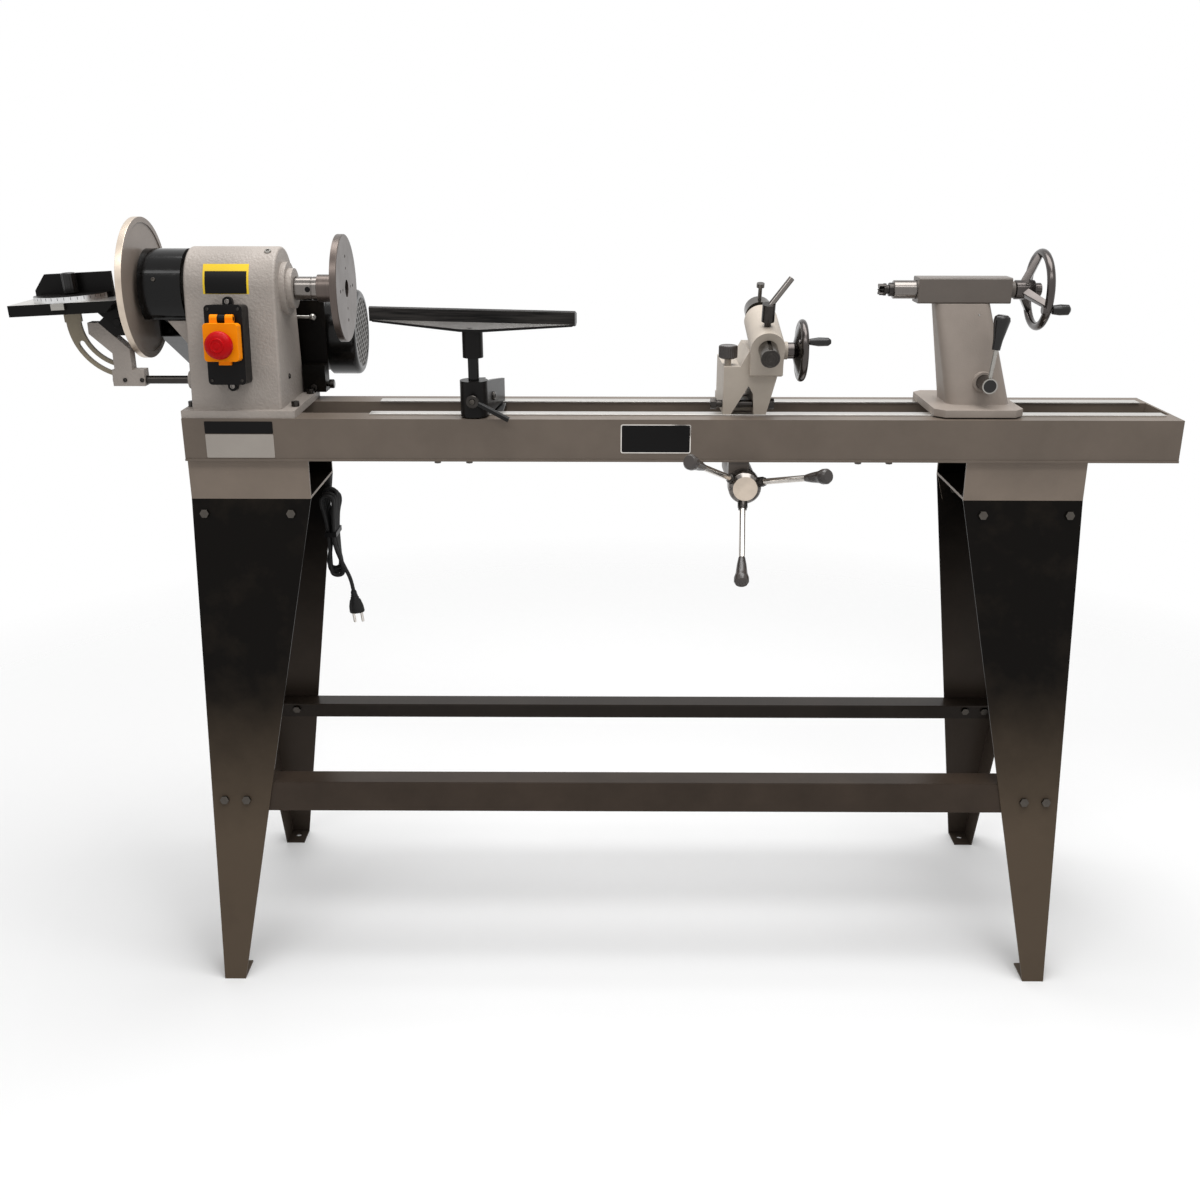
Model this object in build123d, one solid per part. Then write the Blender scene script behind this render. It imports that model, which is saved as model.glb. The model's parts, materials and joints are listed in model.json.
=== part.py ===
from build123d import *
from math import asin, atan2, cos, dist, hypot, pi, radians, sin, tan
import os

# A wood lathe with a copy attachment, on a stand folded from sheet steel.
# Millimetres. X runs along the bed to the right, Y away from the operator, Z up.
# The origin is on the floor, midway between the four feet.

# Fits
RUN = 0.05            # radial play of a turning or sliding round piece
SLIDE = 0.1           # play between flat sliding faces
CLEAR = 0.4           # air between pieces that pass each other

# Stand
STAND_LENGTH = 1336.0
STAND_HEIGHT = 807.0  # floor to the underside of the bed
FOOT_SPREAD = 462.0   # front to rear over the feet
BRACKET_WIDTH = 163.0
BRACKET_HEIGHT = 60.0
BRACKET_SHEET = 4.0
BRACKET_FLANGE = 20.0
LIP_HEIGHT = 42.0     # bracket lips that the legs are bolted to
LEG_SHEET = 2.5
LEG_TOP_WIDTH = 179.0
FOOT_WIDTH = 33.0
FOOT_INSET = 19.0     # the foot lies this far in from the end of the stand
SIDE_TOP = 79.0       # side flange of a leg at the top
SIDE_FOOT = 45.0
ANCHOR_R = 5.0
ANCHOR_IN = 17.5      # hole centre from the outer corner of the foot
BAR_TOP = 315.0
BAR_WEB = 44.0
BAR_SHELF = 36.0
BAR_SHEET = 3.0
BAR_END = 20.0        # bar end to the end of the stand
BOLT_R = 4.0
BOLT_HEAD_R = 7.0
BOLT_HEAD = 5.0
TOP_BOLT_DROP = 22.0
TOP_BOLTS = (19.0, 149.0)   # from the end of the stand
BAR_BOLTS = (31.0, 65.0)

# Bed
BED_LENGTH = 1466.0
BED_WIDTH = 180.0
BED_HEIGHT = 63.0
RAIL_WIDTH = 46.0
RAIL_WALL = 6.0
RAIL_SLOT = 12.0
RAIL_BEAD = 1.5
END_PLATE = 4.0
WAY_WIDTH = 21.0
WAY_THICK = 2.0
WAY_OVERHANG = 4.0    # clamp plates grip under this edge
WAY_START = 270.0     # left end of the bed to the ways
WAY_END = 15.0

# Headstock
CENTRE_HEIGHT = 175.0
HEAD_BASE_LENGTH = 166.0
HEAD_BASE_WIDTH = 176.0
HEAD_BASE_THICK = 11.0
HEAD_INSET = 13.0
HEAD_LENGTH = 132.0
HEAD_FOOT_WIDTH = 152.0
HEAD_ARCH_R = 60.0
HEAD_WALL = 10.0
HEAD_EDGE_R = 4.0
BOSS_R = 38.0
BOSS_LENGTH = 8.0
CAP_R = 29.0
CAP_LENGTH = 8.0
HEAD_BOLT_Y = 51.0
HEAD_BOLT_IN = 6.4
HEAD_BOLT_R = 3.0
HEAD_BOLT_HEAD_R = 5.8
GUSSET = 34.0
GUSSET_TOP = 43.0     # below the spindle axis
GUSSET_Y = (-38.0, 12.0)

# Spindle
NOSE_R = 17.0
NOSE_LENGTH = 34.0
SHAFT_R = 15.0
TAIL_R = 12.5
END_R = 10.0
THREAD_R = 12.5
FACEPLATE_R = 77.5
FACEPLATE_THICK = 10.0
HUB_R = 20.0
HUB_LENGTH = 32.0
SCREW_PCD = 92.0
INNER_PCD = 58.0
SCREW_R = 2.6
INNER_R = 2.0
DISC_R = 101.5
DISC_THICK = 8.0
DISC_HUB_R = 23.0
DISC_HUB = 14.0
STEP = 14.0           # width of one pulley step
STEP_RADII = (44.0, 36.0, 28.0)
PULLEY_GAP = 6.0      # headstock boss to the pulley
GROOVE = 7.0
BELT_THICK = 6.0

# Guard round the pulleys
GUARD_R = 57.0
MOTOR_GUARD_R = 54.0
GUARD_SHEET = 2.0
GUARD_LENGTH = 62.0
GUARD_BACK = 3.0      # guard to the headstock boss
GUARD_CUT = 41.0      # lower front edge below the spindle axis
LID_SEAM = 26.0       # seam above the spindle axis
HINGE_RISE = 18.5     # lid hinge above the seam
HINGE_PIN_R = 1.5
KNUCKLE_R = 3.0

# Motor
MOTOR_Y = 165.0
MOTOR_DROP = 86.0     # motor axis below the spindle axis
MOTOR_R = 61.0
MOTOR_LENGTH = 160.0
FAN_R = 67.0
FAN_LENGTH = 47.0
FAN_OUT = 80.0        # fan end to the right of the headstock
MOTOR_SHAFT_R = 9.5
PLATE_Y = 86.0
PLATE_THICK = 6.0
PLATE_HEIGHT = 139.0
LEVER_REACH = 57.0

# Switch
SWITCH_WIDTH = 54.0
SWITCH_HEIGHT = 112.0
SWITCH_DEPTH = 34.0
SWITCH_X = 65.0       # switch middle from the left headstock wall
SWITCH_DROP = 72.0    # below the spindle axis
COVER_WIDTH = 49.0
COVER_HEIGHT = 53.0
COVER_DEPTH = 20.0
COVER_WALL = 2.0
COVER_SHIFT = 4.5
STOP_R = 20.0
STOP_TRAVEL = 4.0

# Sanding table
PIVOT_OUT = 84.0      # tilt pivot beyond the left end of the bed
PIVOT_DROP = 41.0     # tilt pivot below the spindle axis
TABLE_TILT = 3.0      # degrees, left edge low
TABLE_LENGTH = 153.0
TABLE_WIDTH = 190.0
TABLE_DEPTH = 16.0
TABLE_SKIN = 6.0
TABLE_RISE = 33.0     # table top above the pivot
TABLE_GAP = 4.0       # table edge to the disc
MITRE_OUT = 68.0      # mitre slot to the left of the pivot
MITRE_BAR = 18.8
MITRE_BAR_DEPTH = 8.8
MITRE_HEAD_R = 52.0
MITRE_Y = -45.0
FENCE_HEIGHT = 36.0
QUAD_OUT = 86.0
QUAD_IN = 65.0
QUAD_SLOT_R = 75.5
QUAD_SLOT = 9.0
QUAD_SHEET = 6.0
ARM_Y = -60.0
ARM_WIDTH = 20.0
ROD_R = 6.0
ROD_DROP = 127.0
STUD_ANGLE = 261.0    # clamp stud in the quadrant slot, degrees

# Tool rest
REST_ALONG = 428.0    # post from the left end of the bed
REST_Y = -70.0
REST_TURN = -10.0     # degrees, left end farther from the operator
REST_LENGTH = 305.0
REST_TOP = 20.0       # below the spindle axis
FLARE_REACH = 16.0    # web under the bar, out to the operator from the post axis
POST_R = 8.0
HOLDER_R = 20.5
HOLDER_TOP = 52.0     # above the ways
BANJO_TURN = 83.0     # degrees from X to the banjo arm
BANJO_LENGTH = 125.0
BANJO_THICK = 28.0
BANJO_WIDTH = 40.0
BANJO_FLOOR = 14.0    # thickness under the clamp nut
CLAMP_R = 5.0
CLAMP_PLATE = 11.0
REST_CLAMP = 60.0

# Copy carriage
COPY_ALONG = 855.0    # middle of the ram from the left end of the bed
COPY_WALL = 61.0      # left wall of the casting from the ram
COPY_FLANK = 19.0     # right flank of the casting from the ram
COPY_HALF_Y = 78.0
RAM_TILT = 15.0       # degrees, front end low
RAM_R = 14.0
RAM_HEIGHT = 100.0    # ram axis above the ways where it crosses RAM_CROSS_Y
RAM_CROSS_Y = -70.0
RAM_FRONT = 41.0      # ram front end ahead of the crossing
RAM_LENGTH = 194.0
BARREL_R = 25.0
BARREL_LENGTH = 100.0
BARREL_FRONT = 8.0    # barrel ahead of the crossing
CHIN_DROP = 14.0      # upright front face under the barrel
RACK_MODULE = 1.0
RACK_HALF = 5.4       # half width of the teeth under the ram
RAM_RACK = 100.0
PINION_TEETH = 16
PINION_ALONG = 35.0   # pinion from the crossing along the ram
WHEEL_R = 40.0
WHEEL_RIM_R = 5.5
WHEEL_OUT = 55.0      # rim to the right of the ram
FEED_BACK = 30.0      # feed axis to the left of the ram
FEED_DROP = 32.0      # feed axis below the bed
RACK_RISE = 20.0      # rack bar above the underside of the bed
FEED_MODULE = 3.0
FEED_TEETH = 10
FEED_SHAFT_R = 8.0
RACK_WIDTH = 10.0
FEED_FRONT = -95.0    # back of the handle hub
FEED_HUB = 29.0       # length of the handle hub
FEED_HUB_R = 24.0
APRON_R = 21.0
APRON_BLOCK = 30.0    # block under the front rail, square in plan
APRON_BLOCK_LEFT = 22.0
APRON_BLOCK_FRONT = 88.0
SPOKE_R = 4.5
SPOKE_LENGTH = 132.0
SPOKE_CONE = 50.6     # degrees the spokes lean to the operator
SPOKE_TURN = -6.0
KNOB_LENGTH = 44.0

# Tailstock
TAIL_IN = 296.0       # middle of the base from the right end of the bed
TAIL_BASE_LENGTH = 131.0
TAIL_BASE_WIDTH = 164.0
TAIL_BASE_THICK = 11.0
TAIL_LEAN = -32.0     # the top of the column is this far to the left
COLUMN_FOOT_LENGTH = 94.0
COLUMN_TOP_LENGTH = 82.0
COLUMN_FOOT_WIDTH = 84.0
COLUMN_TOP_WIDTH = 38.0
HOUSING_SIDE = 37.0
HOUSING_OUT = 91.0    # left end of the housing from the middle of the base
HOUSING_LENGTH = 137.0
QUILL_R = 13.35
QUILL_OUT = 34.0
QUILL_BACK = 25.0     # how far the quill can still draw in
SPUR_LENGTH = 23.0
TAIL_WHEEL_R = 53.0
TAIL_RIM_R = 6.0
TAIL_HUB_R = 14.0
TAIL_WHEEL_OUT = 45.0 # rim to the right of the housing
TAIL_LEVER_IN = 11.0  # lever to the right of the middle of the base
TAIL_LEVER_R = 11.0
TAIL_BOSS_FRONT = 42.0
TAIL_BOSS_R = 15.0
TAIL_BORE_BACK = 36.0
TAIL_CLAMP = 80.0
TAIL_LEVER_Z = 45.0   # lever axis above the ways
TAIL_LEVER_LEAN = 6.0 # degrees, top to the right

# Cord
CORD_R = 3.2
CORD_Y = 68.0
HANK_ACROSS = 0.5     # hank from the inner edge of the leg
HANK_DROP = 90.0      # hank below the leg top
HANK_HALF = 66.0
HANK_LOOPS = 5
HANK_STEP = 6.9
HANK_WIDE = 10.0
HANK_WAIST = 4.0
HANK_BEND = 8.8
PLUG_LENGTH = 37.0

LOW = (Align.CENTER, Align.CENTER, Align.MIN)
CORNER = (Align.MIN, Align.MIN, Align.MIN)

bed_left = -STAND_LENGTH / 2
bed_right = bed_left + BED_LENGTH
rail_top = STAND_HEIGHT + BED_HEIGHT
way_top = rail_top + WAY_THICK
axis_z = way_top + CENTRE_HEIGHT
half_stand = STAND_LENGTH / 2
gap_half = BED_WIDTH / 2 - RAIL_WIDTH
pivot_x = bed_left - PIVOT_OUT
mitre_x = pivot_x - MITRE_OUT
rest_x = bed_left + REST_ALONG
copy_x = bed_left + COPY_ALONG
copy_right = copy_x + COPY_FLANK
wheel_x = copy_x + WHEEL_OUT
feed_x = copy_x - FEED_BACK
feed_z = STAND_HEIGHT - FEED_DROP
tail_x = bed_right - TAIL_IN
housing_left = tail_x - HOUSING_OUT
housing_right = housing_left + HOUSING_LENGTH
tail_wheel_x = housing_right + TAIL_WHEEL_OUT
tail_lever_x = tail_x + TAIL_LEVER_IN
parts = {}


def box(x0, x1, y0, y1, z0, z1):
    return Pos(x0, y0, z0) * Box(x1 - x0, y1 - y0, z1 - z0, align=CORNER)


def rod(start, end, radius):
    run = Vector(*end) - Vector(*start)
    return Plane(origin=start, z_dir=run) * Cylinder(radius, run.length, align=LOW)


def rod_x(x0, x1, y, z, radius):
    return rod((x0, y, z), (x1, y, z), radius)


def rod_y(y0, y1, x, z, radius):
    return rod((x, y0, z), (x, y1, z), radius)


def rod_z(z0, z1, x, y, radius):
    return rod((x, y, z0), (x, y, z1), radius)


def prism_x(face, x0, x1):
    return Pos(x0, 0, 0) * extrude(Plane.YZ * face, amount=x1 - x0)


def prism_y(face, y0, y1):
    return Pos(0, y1, 0) * extrude(Plane.XZ * face, amount=y1 - y0)


def prism_z(face, z0, z1):
    return Pos(0, 0, z0) * extrude(face, amount=z1 - z0)


def outline(*points):
    return make_face(Polyline(*points, close=True))


def turned_x(points, y, z):
    return Pos(0, y, z) * revolve(outline(*points), axis=Axis.X)


def turn_about(shape, point, angles):
    return Pos(*point) * Rot(*angles) * Pos(*[-value for value in point]) * shape


def hull(*shapes):
    edges = []
    for shape in shapes:
        edges += shape.edges()
    return make_hull(edges)


def both_sides(shape):
    return [shape, mirror(shape, about=Plane.XZ)]


def both_ends(shape):
    return [shape, mirror(shape, about=Plane.YZ)]


# Stand
leg_top = STAND_HEIGHT - BRACKET_HEIGHT
foot_half = FOOT_SPREAD / 2
bracket_half = BRACKET_WIDTH / 2
splay = atan2(foot_half - bracket_half, leg_top)
slope_plane = Plane(origin=(0, -foot_half, 0), x_dir=(1, 0, 0), z_dir=(0, -cos(splay), sin(splay)))


def up_slope(z):
    return z / cos(splay)


def slope_plate(points, depth, thick):
    return extrude(slope_plane.offset(-depth) * outline(*points), amount=-thick)


def slope_bolt(x, z, grip):
    head = extrude(RegularPolygon(BOLT_HEAD_R, 6), amount=BOLT_HEAD)
    shank = Pos(0, 0, -grip - BOLT_HEAD) * Cylinder(BOLT_R, grip + BOLT_HEAD, align=LOW)
    nut = Pos(0, 0, -grip - BOLT_HEAD) * extrude(RegularPolygon(BOLT_HEAD_R, 6), amount=BOLT_HEAD)
    return slope_plane * Pos(x, up_slope(z), 0) * (head + shank + nut)


def slope_hole(x, z):
    return slope_plane * Pos(x, up_slope(z), 0) * Cylinder(BOLT_R + RUN, 40)


def between(foot_value, top_value, z):
    return foot_value + (top_value - foot_value) * z / leg_top


top_bolt_z = leg_top - TOP_BOLT_DROP
bar_bolt_z = BAR_TOP - BAR_WEB * 0.6
top_bolts = [-half_stand + value for value in TOP_BOLTS]
bar_bolts = [-half_stand + value for value in BAR_BOLTS]
outer_foot = -half_stand + FOOT_INSET
inner_foot = outer_foot + FOOT_WIDTH
inner_top = -half_stand + LEG_TOP_WIDTH
margin = 20.0
flange_points = [
    (between(outer_foot, -half_stand, -margin), up_slope(-margin)),
    (between(inner_foot, inner_top, -margin), up_slope(-margin)),
    (between(inner_foot, inner_top, leg_top + margin), up_slope(leg_top + margin)),
    (between(outer_foot, -half_stand, leg_top + margin), up_slope(leg_top + margin)),
]
side_points = [
    (outer_foot, -foot_half, 0),
    (outer_foot, -foot_half + SIDE_FOOT, 0),
    (-half_stand, -bracket_half + SIDE_TOP, leg_top),
    (-half_stand, -bracket_half, leg_top),
]
leg = slope_plate(flange_points, 0, LEG_SHEET)
leg &= box(-half_stand, 0, -foot_half, 0, 0, leg_top)
leg += extrude(outline(*side_points), amount=LEG_SHEET, dir=(1, 0, 0))
leg += box(outer_foot, inner_foot, -foot_half + LEG_SHEET / 2, -foot_half + SIDE_FOOT, 0, LEG_SHEET)
leg -= rod_z(-1, LEG_SHEET + 1, outer_foot + ANCHOR_IN, -foot_half + ANCHOR_IN + LEG_SHEET, ANCHOR_R)
for x in top_bolts:
    leg -= slope_hole(x, top_bolt_z)
for x in bar_bolts:
    leg -= slope_hole(x, bar_bolt_z)
parts["legs_left"] = Compound(both_sides(leg))
parts["legs_right"] = Compound(both_sides(mirror(leg, about=Plane.YZ)))

# Leg bracket: an upward channel under the bed with a lip behind each leg
channel = Rectangle(BRACKET_WIDTH, BRACKET_HEIGHT)
channel -= Pos(0, BRACKET_SHEET) * Rectangle(BRACKET_WIDTH - 2 * BRACKET_SHEET, BRACKET_HEIGHT)
flange = Rectangle(BRACKET_FLANGE, BRACKET_SHEET, align=(Align.MIN, Align.MAX))
channel += Pos(-bracket_half, BRACKET_HEIGHT / 2) * flange
channel += mirror(Pos(-bracket_half, BRACKET_HEIGHT / 2) * flange, about=Plane.YZ)
bracket = prism_x(Pos(0, leg_top + BRACKET_HEIGHT / 2) * channel, -half_stand, inner_top)
lip_low = up_slope(leg_top - LIP_HEIGHT)
lip_high = up_slope(leg_top + BRACKET_SHEET / 2)
lip = slope_plate(
    [
        (-half_stand + 8, lip_low),
        (inner_top - 14, lip_low),
        (inner_top, lip_high),
        (-half_stand + 8, lip_high),
    ],
    LEG_SHEET,
    BRACKET_SHEET,
)
lip -= box(-half_stand, 0, -foot_half, 0, leg_top + 1, STAND_HEIGHT)
for x in top_bolts:
    lip -= slope_hole(x, top_bolt_z)
for piece in both_sides(lip):
    bracket += piece
parts["leg_brackets"] = Compound(both_ends(bracket))

# Cross bars: steel angle behind the front legs and in front of the rear ones
bar_half = half_stand - BAR_END
bar_low = BAR_TOP - BAR_WEB
bar_y = -between(foot_half, bracket_half, BAR_TOP) + LEG_SHEET + BAR_SHEET / 2
bar = slope_plate(
    [
        (-bar_half, up_slope(bar_low)),
        (bar_half, up_slope(bar_low)),
        (bar_half, up_slope(BAR_TOP)),
        (-bar_half, up_slope(BAR_TOP)),
    ],
    LEG_SHEET,
    BAR_SHEET,
)
bar += box(-bar_half, bar_half, bar_y, bar_y + BAR_SHELF, BAR_TOP - BAR_SHEET, BAR_TOP)
for x in bar_bolts:
    bar -= slope_hole(x, bar_bolt_z)
    bar -= slope_hole(-x, bar_bolt_z)
parts["cross_bars"] = Compound(both_sides(bar))

# Bed: two box rails slotted underneath, joined by end plates
rail = Rectangle(RAIL_WIDTH, BED_HEIGHT)
rail -= Rectangle(RAIL_WIDTH - 2 * RAIL_WALL, BED_HEIGHT - 2 * RAIL_WALL)
rail -= Pos(0, -BED_HEIGHT / 2) * Rectangle(RAIL_SLOT, 3 * RAIL_WALL)
bead = Pos(-RAIL_WIDTH / 2, -BED_HEIGHT / 2) * Rectangle(
    2 * RAIL_BEAD, 2 * RAIL_BEAD, align=(Align.CENTER, Align.MIN)
)
rail_face = Pos(-BED_WIDTH / 2 + RAIL_WIDTH / 2, STAND_HEIGHT + BED_HEIGHT / 2) * (rail + bead)
front_rail = prism_x(rail_face, bed_left, bed_right)
bed = front_rail + mirror(front_rail, about=Plane.XZ)
end_plate = box(bed_left, bed_left + END_PLATE, -BED_WIDTH / 2, BED_WIDTH / 2, STAND_HEIGHT, rail_top)
bed += end_plate + Pos(BED_LENGTH - END_PLATE, 0, 0) * end_plate
head_bolts = [bed_left + HEAD_BOLT_IN, bed_left + HEAD_BASE_LENGTH - HEAD_BOLT_IN]
for x in head_bolts:
    for y in (-HEAD_BOLT_Y, HEAD_BOLT_Y):
        bed -= rod_z(rail_top - RAIL_WALL - 1, rail_top + 1, x, y, HEAD_BOLT_R + RUN)
parts["bed"] = bed
way = box(
    bed_left + WAY_START,
    bed_right - WAY_END,
    -gap_half + WAY_OVERHANG - WAY_WIDTH,
    -gap_half + WAY_OVERHANG,
    rail_top,
    way_top,
)
parts["ways"] = Compound(both_sides(way))

# Headstock: a hollow casting, its walls tangent to the arch round the spindle
head_left = bed_left + HEAD_INSET
head_right = head_left + HEAD_LENGTH
boss_right = head_right + BOSS_LENGTH
cap_right = boss_right + CAP_LENGTH
boss_left = head_left - BOSS_LENGTH
base_top = rail_top + HEAD_BASE_THICK
head_half = HEAD_FOOT_WIDTH / 2
rise = axis_z - base_top
wall_lean = atan2(head_half, rise) - asin(HEAD_ARCH_R / hypot(head_half, rise))


def head_outline(inset):
    arch = Pos(0, axis_z) * Circle(HEAD_ARCH_R - inset)
    foot = Polyline((inset - head_half, base_top - inset), (head_half - inset, base_top - inset))
    return hull(arch, foot)


def wall_y(z):
    return -head_half + (z - base_top) * tan(wall_lean)


shell = prism_x(head_outline(0), head_left, head_right)
rims = shell.edges().filter_by_position(Axis.Z, base_top + 1, axis_z + 2 * HEAD_ARCH_R)
rims = [edge for edge in rims if edge.bounding_box().size.X < 1]
headstock = fillet(rims, HEAD_EDGE_R)
headstock += box(
    bed_left, bed_left + HEAD_BASE_LENGTH, -HEAD_BASE_WIDTH / 2, HEAD_BASE_WIDTH / 2, rail_top, base_top
)
headstock += rod_x(boss_left, boss_right, 0, axis_z, BOSS_R)
headstock += rod_x(boss_right, cap_right, 0, axis_z, CAP_R)
hollow = prism_x(head_outline(HEAD_WALL), head_left + HEAD_WALL, head_right - HEAD_WALL)
hollow += box(
    head_left + HEAD_WALL, head_right - HEAD_WALL, HEAD_WALL - head_half, head_half - HEAD_WALL,
    rail_top - 1, base_top,
)
headstock -= hollow
gusset_top = axis_z - GUSSET_TOP
gusset = outline(
    (head_left + 1, gusset_top), (head_left - GUSSET, gusset_top),
    (head_left + 1, gusset_top - 1.3 * GUSSET),
)
headstock += prism_y(gusset, *GUSSET_Y)
rod_y_place = ARM_Y + ARM_WIDTH / 2
rod_z_place = axis_z - ROD_DROP
headstock += rod_x(head_left - 6, head_left + HEAD_WALL, rod_y_place, rod_z_place, ROD_R + 7)
headstock -= rod_x(head_left - 7, head_left + HEAD_WALL + 1, rod_y_place, rod_z_place, ROD_R + RUN)
headstock -= rod_x(head_left - 20, head_left + HEAD_LENGTH / 2, 0, axis_z, TAIL_R + RUN)
headstock -= rod_x(head_left + HEAD_LENGTH / 2, cap_right + 1, 0, axis_z, SHAFT_R + RUN)
for x in head_bolts:
    for y in (-HEAD_BOLT_Y, HEAD_BOLT_Y):
        headstock -= rod_z(rail_top - 1, base_top + 1, x, y, HEAD_BOLT_R + RUN)
plate_posts = [
    (head_left + 30, base_top + 25), (head_right - 30, base_top + 25), (head_left + 30, base_top + 105),
]
for x, z in plate_posts:
    headstock += rod_y(-wall_y(z) - HEAD_WALL / 2, PLATE_Y, x, z, 11)
lever_x = head_right - 37
lever_z = axis_z - 52
headstock += rod_y(-wall_y(lever_z) - HEAD_WALL / 2, PLATE_Y - 12, lever_x, lever_z, 9)

# Bolts that hold the stand and the headstock together
bolt_set = []
for x in top_bolts:
    bolt_set.append(slope_bolt(x, top_bolt_z, LEG_SHEET + BRACKET_SHEET))
for x in bar_bolts:
    bolt_set.append(slope_bolt(x, bar_bolt_z, LEG_SHEET + BAR_SHEET))
frame_bolts = []
for bolt in bolt_set:
    for half in both_sides(bolt):
        frame_bolts += both_ends(half)
for x in head_bolts:
    for y in (-HEAD_BOLT_Y, HEAD_BOLT_Y):
        bolt = Pos(x, y, base_top) * extrude(RegularPolygon(HEAD_BOLT_HEAD_R, 6), amount=BOLT_HEAD)
        frame_bolts.append(bolt + rod_z(rail_top - RAIL_WALL, base_top, x, y, HEAD_BOLT_R))
parts["frame_bolts"] = Compound(frame_bolts)

# Spindle with faceplate, sanding disc and step pulley
pulley_right = boss_left - PULLEY_GAP
pulley_left = pulley_right - 3 * STEP
disc_back = pulley_left - DISC_HUB - 4
disc_face = disc_back - DISC_THICK
nose_right = cap_right + NOSE_LENGTH
plate_left = nose_right + HUB_LENGTH
plate_right = plate_left + FACEPLATE_THICK
thread_end = plate_right - 12
middle = head_left + HEAD_LENGTH / 2
spindle = turned_x(
    [
        (disc_face, 0), (disc_face, END_R), (disc_back + DISC_HUB, END_R), (disc_back + DISC_HUB, TAIL_R),
        (middle, TAIL_R), (middle, SHAFT_R), (cap_right + CLEAR, SHAFT_R), (cap_right + CLEAR, NOSE_R),
        (nose_right, NOSE_R), (nose_right, THREAD_R), (thread_end, THREAD_R), (thread_end, 0),
    ],
    0,
    axis_z,
)
cross_hole_x = cap_right + 0.62 * NOSE_LENGTH
parts["spindle"] = spindle - rod_y(-NOSE_R - 1, NOSE_R + 1, cross_hole_x, axis_z, 4)


def step_pulley(radii, bore, y, z):
    points = [(pulley_left, bore)]
    for index, radius in enumerate(radii):
        left = pulley_left + index * STEP
        points += [(left, radius), (left + 2, radius), (left + 4, radius - GROOVE)]
        points += [(left + STEP - 4, radius - GROOVE), (left + STEP - 2, radius), (left + STEP, radius)]
    points.append((pulley_right, bore))
    return turned_x(points, y, z)


motor_z = axis_z - MOTOR_DROP
parts["spindle_pulley"] = step_pulley(STEP_RADII, TAIL_R + RUN, 0, axis_z)
belt_left = pulley_left + 4.2
belt_right = pulley_left + STEP - 4.2


def belt_hull(offset):
    small = STEP_RADII[-1] - GROOVE + 0.4 + offset
    large = STEP_RADII[0] - GROOVE + 0.4 + offset
    return hull(Pos(0, axis_z) * Circle(large), Pos(MOTOR_Y, motor_z) * Circle(small))


parts["drive_belt"] = prism_x(belt_hull(BELT_THICK) - belt_hull(0), belt_left, belt_right)
faceplate = turned_x(
    [
        (nose_right, THREAD_R + RUN), (nose_right, HUB_R), (plate_left, HUB_R), (plate_left, FACEPLATE_R),
        (plate_right - 1, FACEPLATE_R), (plate_right, FACEPLATE_R - 1), (plate_right, THREAD_R + RUN),
    ],
    0,
    axis_z,
)
for pcd, radius in ((SCREW_PCD, SCREW_R), (INNER_PCD, INNER_R)):
    for turn in (0, 90, 180, 270):
        y = pcd / 2 * cos(radians(turn))
        z = axis_z + pcd / 2 * sin(radians(turn))
        faceplate -= rod_x(plate_left - 1, plate_right + 1, y, z, radius)
parts["faceplate"] = faceplate
parts["sanding_disc"] = turned_x(
    [
        (disc_face, END_R + RUN), (disc_face, DISC_R), (disc_back + 1.5, DISC_R),
        (disc_back + 1.5, DISC_R - 8), (disc_back, DISC_R - 9), (disc_back, DISC_HUB_R),
        (disc_back + DISC_HUB, DISC_HUB_R),
        (disc_back + DISC_HUB, END_R + RUN),
    ],
    0,
    axis_z,
)

# Guard: a sheet box round both pulleys with a hinged lid over the spindle
guard_right = boss_left - GUARD_BACK + 6
guard_left = guard_right - GUARD_LENGTH


def guard_hull(inset):
    return hull(
        Pos(0, axis_z) * Circle(GUARD_R - inset), Pos(MOTOR_Y, motor_z) * Circle(MOTOR_GUARD_R - inset)
    )


guard_skin = prism_x(guard_hull(0), guard_left, guard_right)
guard_skin -= prism_x(guard_hull(GUARD_SHEET), guard_left + GUARD_SHEET, guard_right + 1)
guard_skin += prism_x(guard_hull(0), guard_right - GUARD_SHEET, guard_right)
guard_skin -= rod_x(guard_left - 1, guard_left + 5, 0, axis_z, DISC_HUB_R + 2)
guard_skin -= rod_x(guard_right - 5, guard_right + 1, 0, axis_z, BOSS_R + CLEAR)
guard_skin -= rod_x(guard_right - 5, guard_right + 1, MOTOR_Y, motor_z, MOTOR_SHAFT_R + 6)
seam_z = axis_z + LID_SEAM
cut_z = axis_z - GUARD_CUT
guard_skin -= box(guard_left - 1, guard_right + 1, -GUARD_R - 1, 20, 0, cut_z)
hinge_y = 46.0
lid_space = box(guard_left - 1, guard_right + 1, -GUARD_R - 1, hinge_y, seam_z, axis_z + GUARD_R + 1)
guard_lid = guard_skin & lid_space
slack = box(
    guard_left - 1, guard_right + 1, -GUARD_R - 1, hinge_y + CLEAR, seam_z - CLEAR, axis_z + GUARD_R + 1
)
hinge_place = (hinge_y + CLEAR / 2, seam_z + HINGE_RISE)


def knuckle(start, length, near, far):
    leaf = hull(Pos(*near) * Circle(1), Pos(*far) * Circle(1))
    face = leaf + Pos(*hinge_place) * Circle(KNUCKLE_R)
    return prism_x(face, guard_left + start, guard_left + start + length)


hinge_z = hinge_place[1]
guard_lid += knuckle(21, 20, (hinge_y - 1, hinge_z), (hinge_y - 7, hinge_z - 1.5))
guard_lid -= rod_x(guard_left, guard_right, *hinge_place, HINGE_PIN_R + RUN)
guard = guard_skin - slack
for start in (4, 21 + 20 + CLEAR):
    guard += knuckle(start, 17 - CLEAR, (hinge_y + 3, hinge_z - 1), (hinge_y + 8, hinge_z - 9.5))
guard += rod_x(guard_left + 4, guard_left + 58, *hinge_place, HINGE_PIN_R)
parts["guard_lid"] = guard_lid
parts["guard"] = guard
parts["headstock"] = headstock

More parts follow.
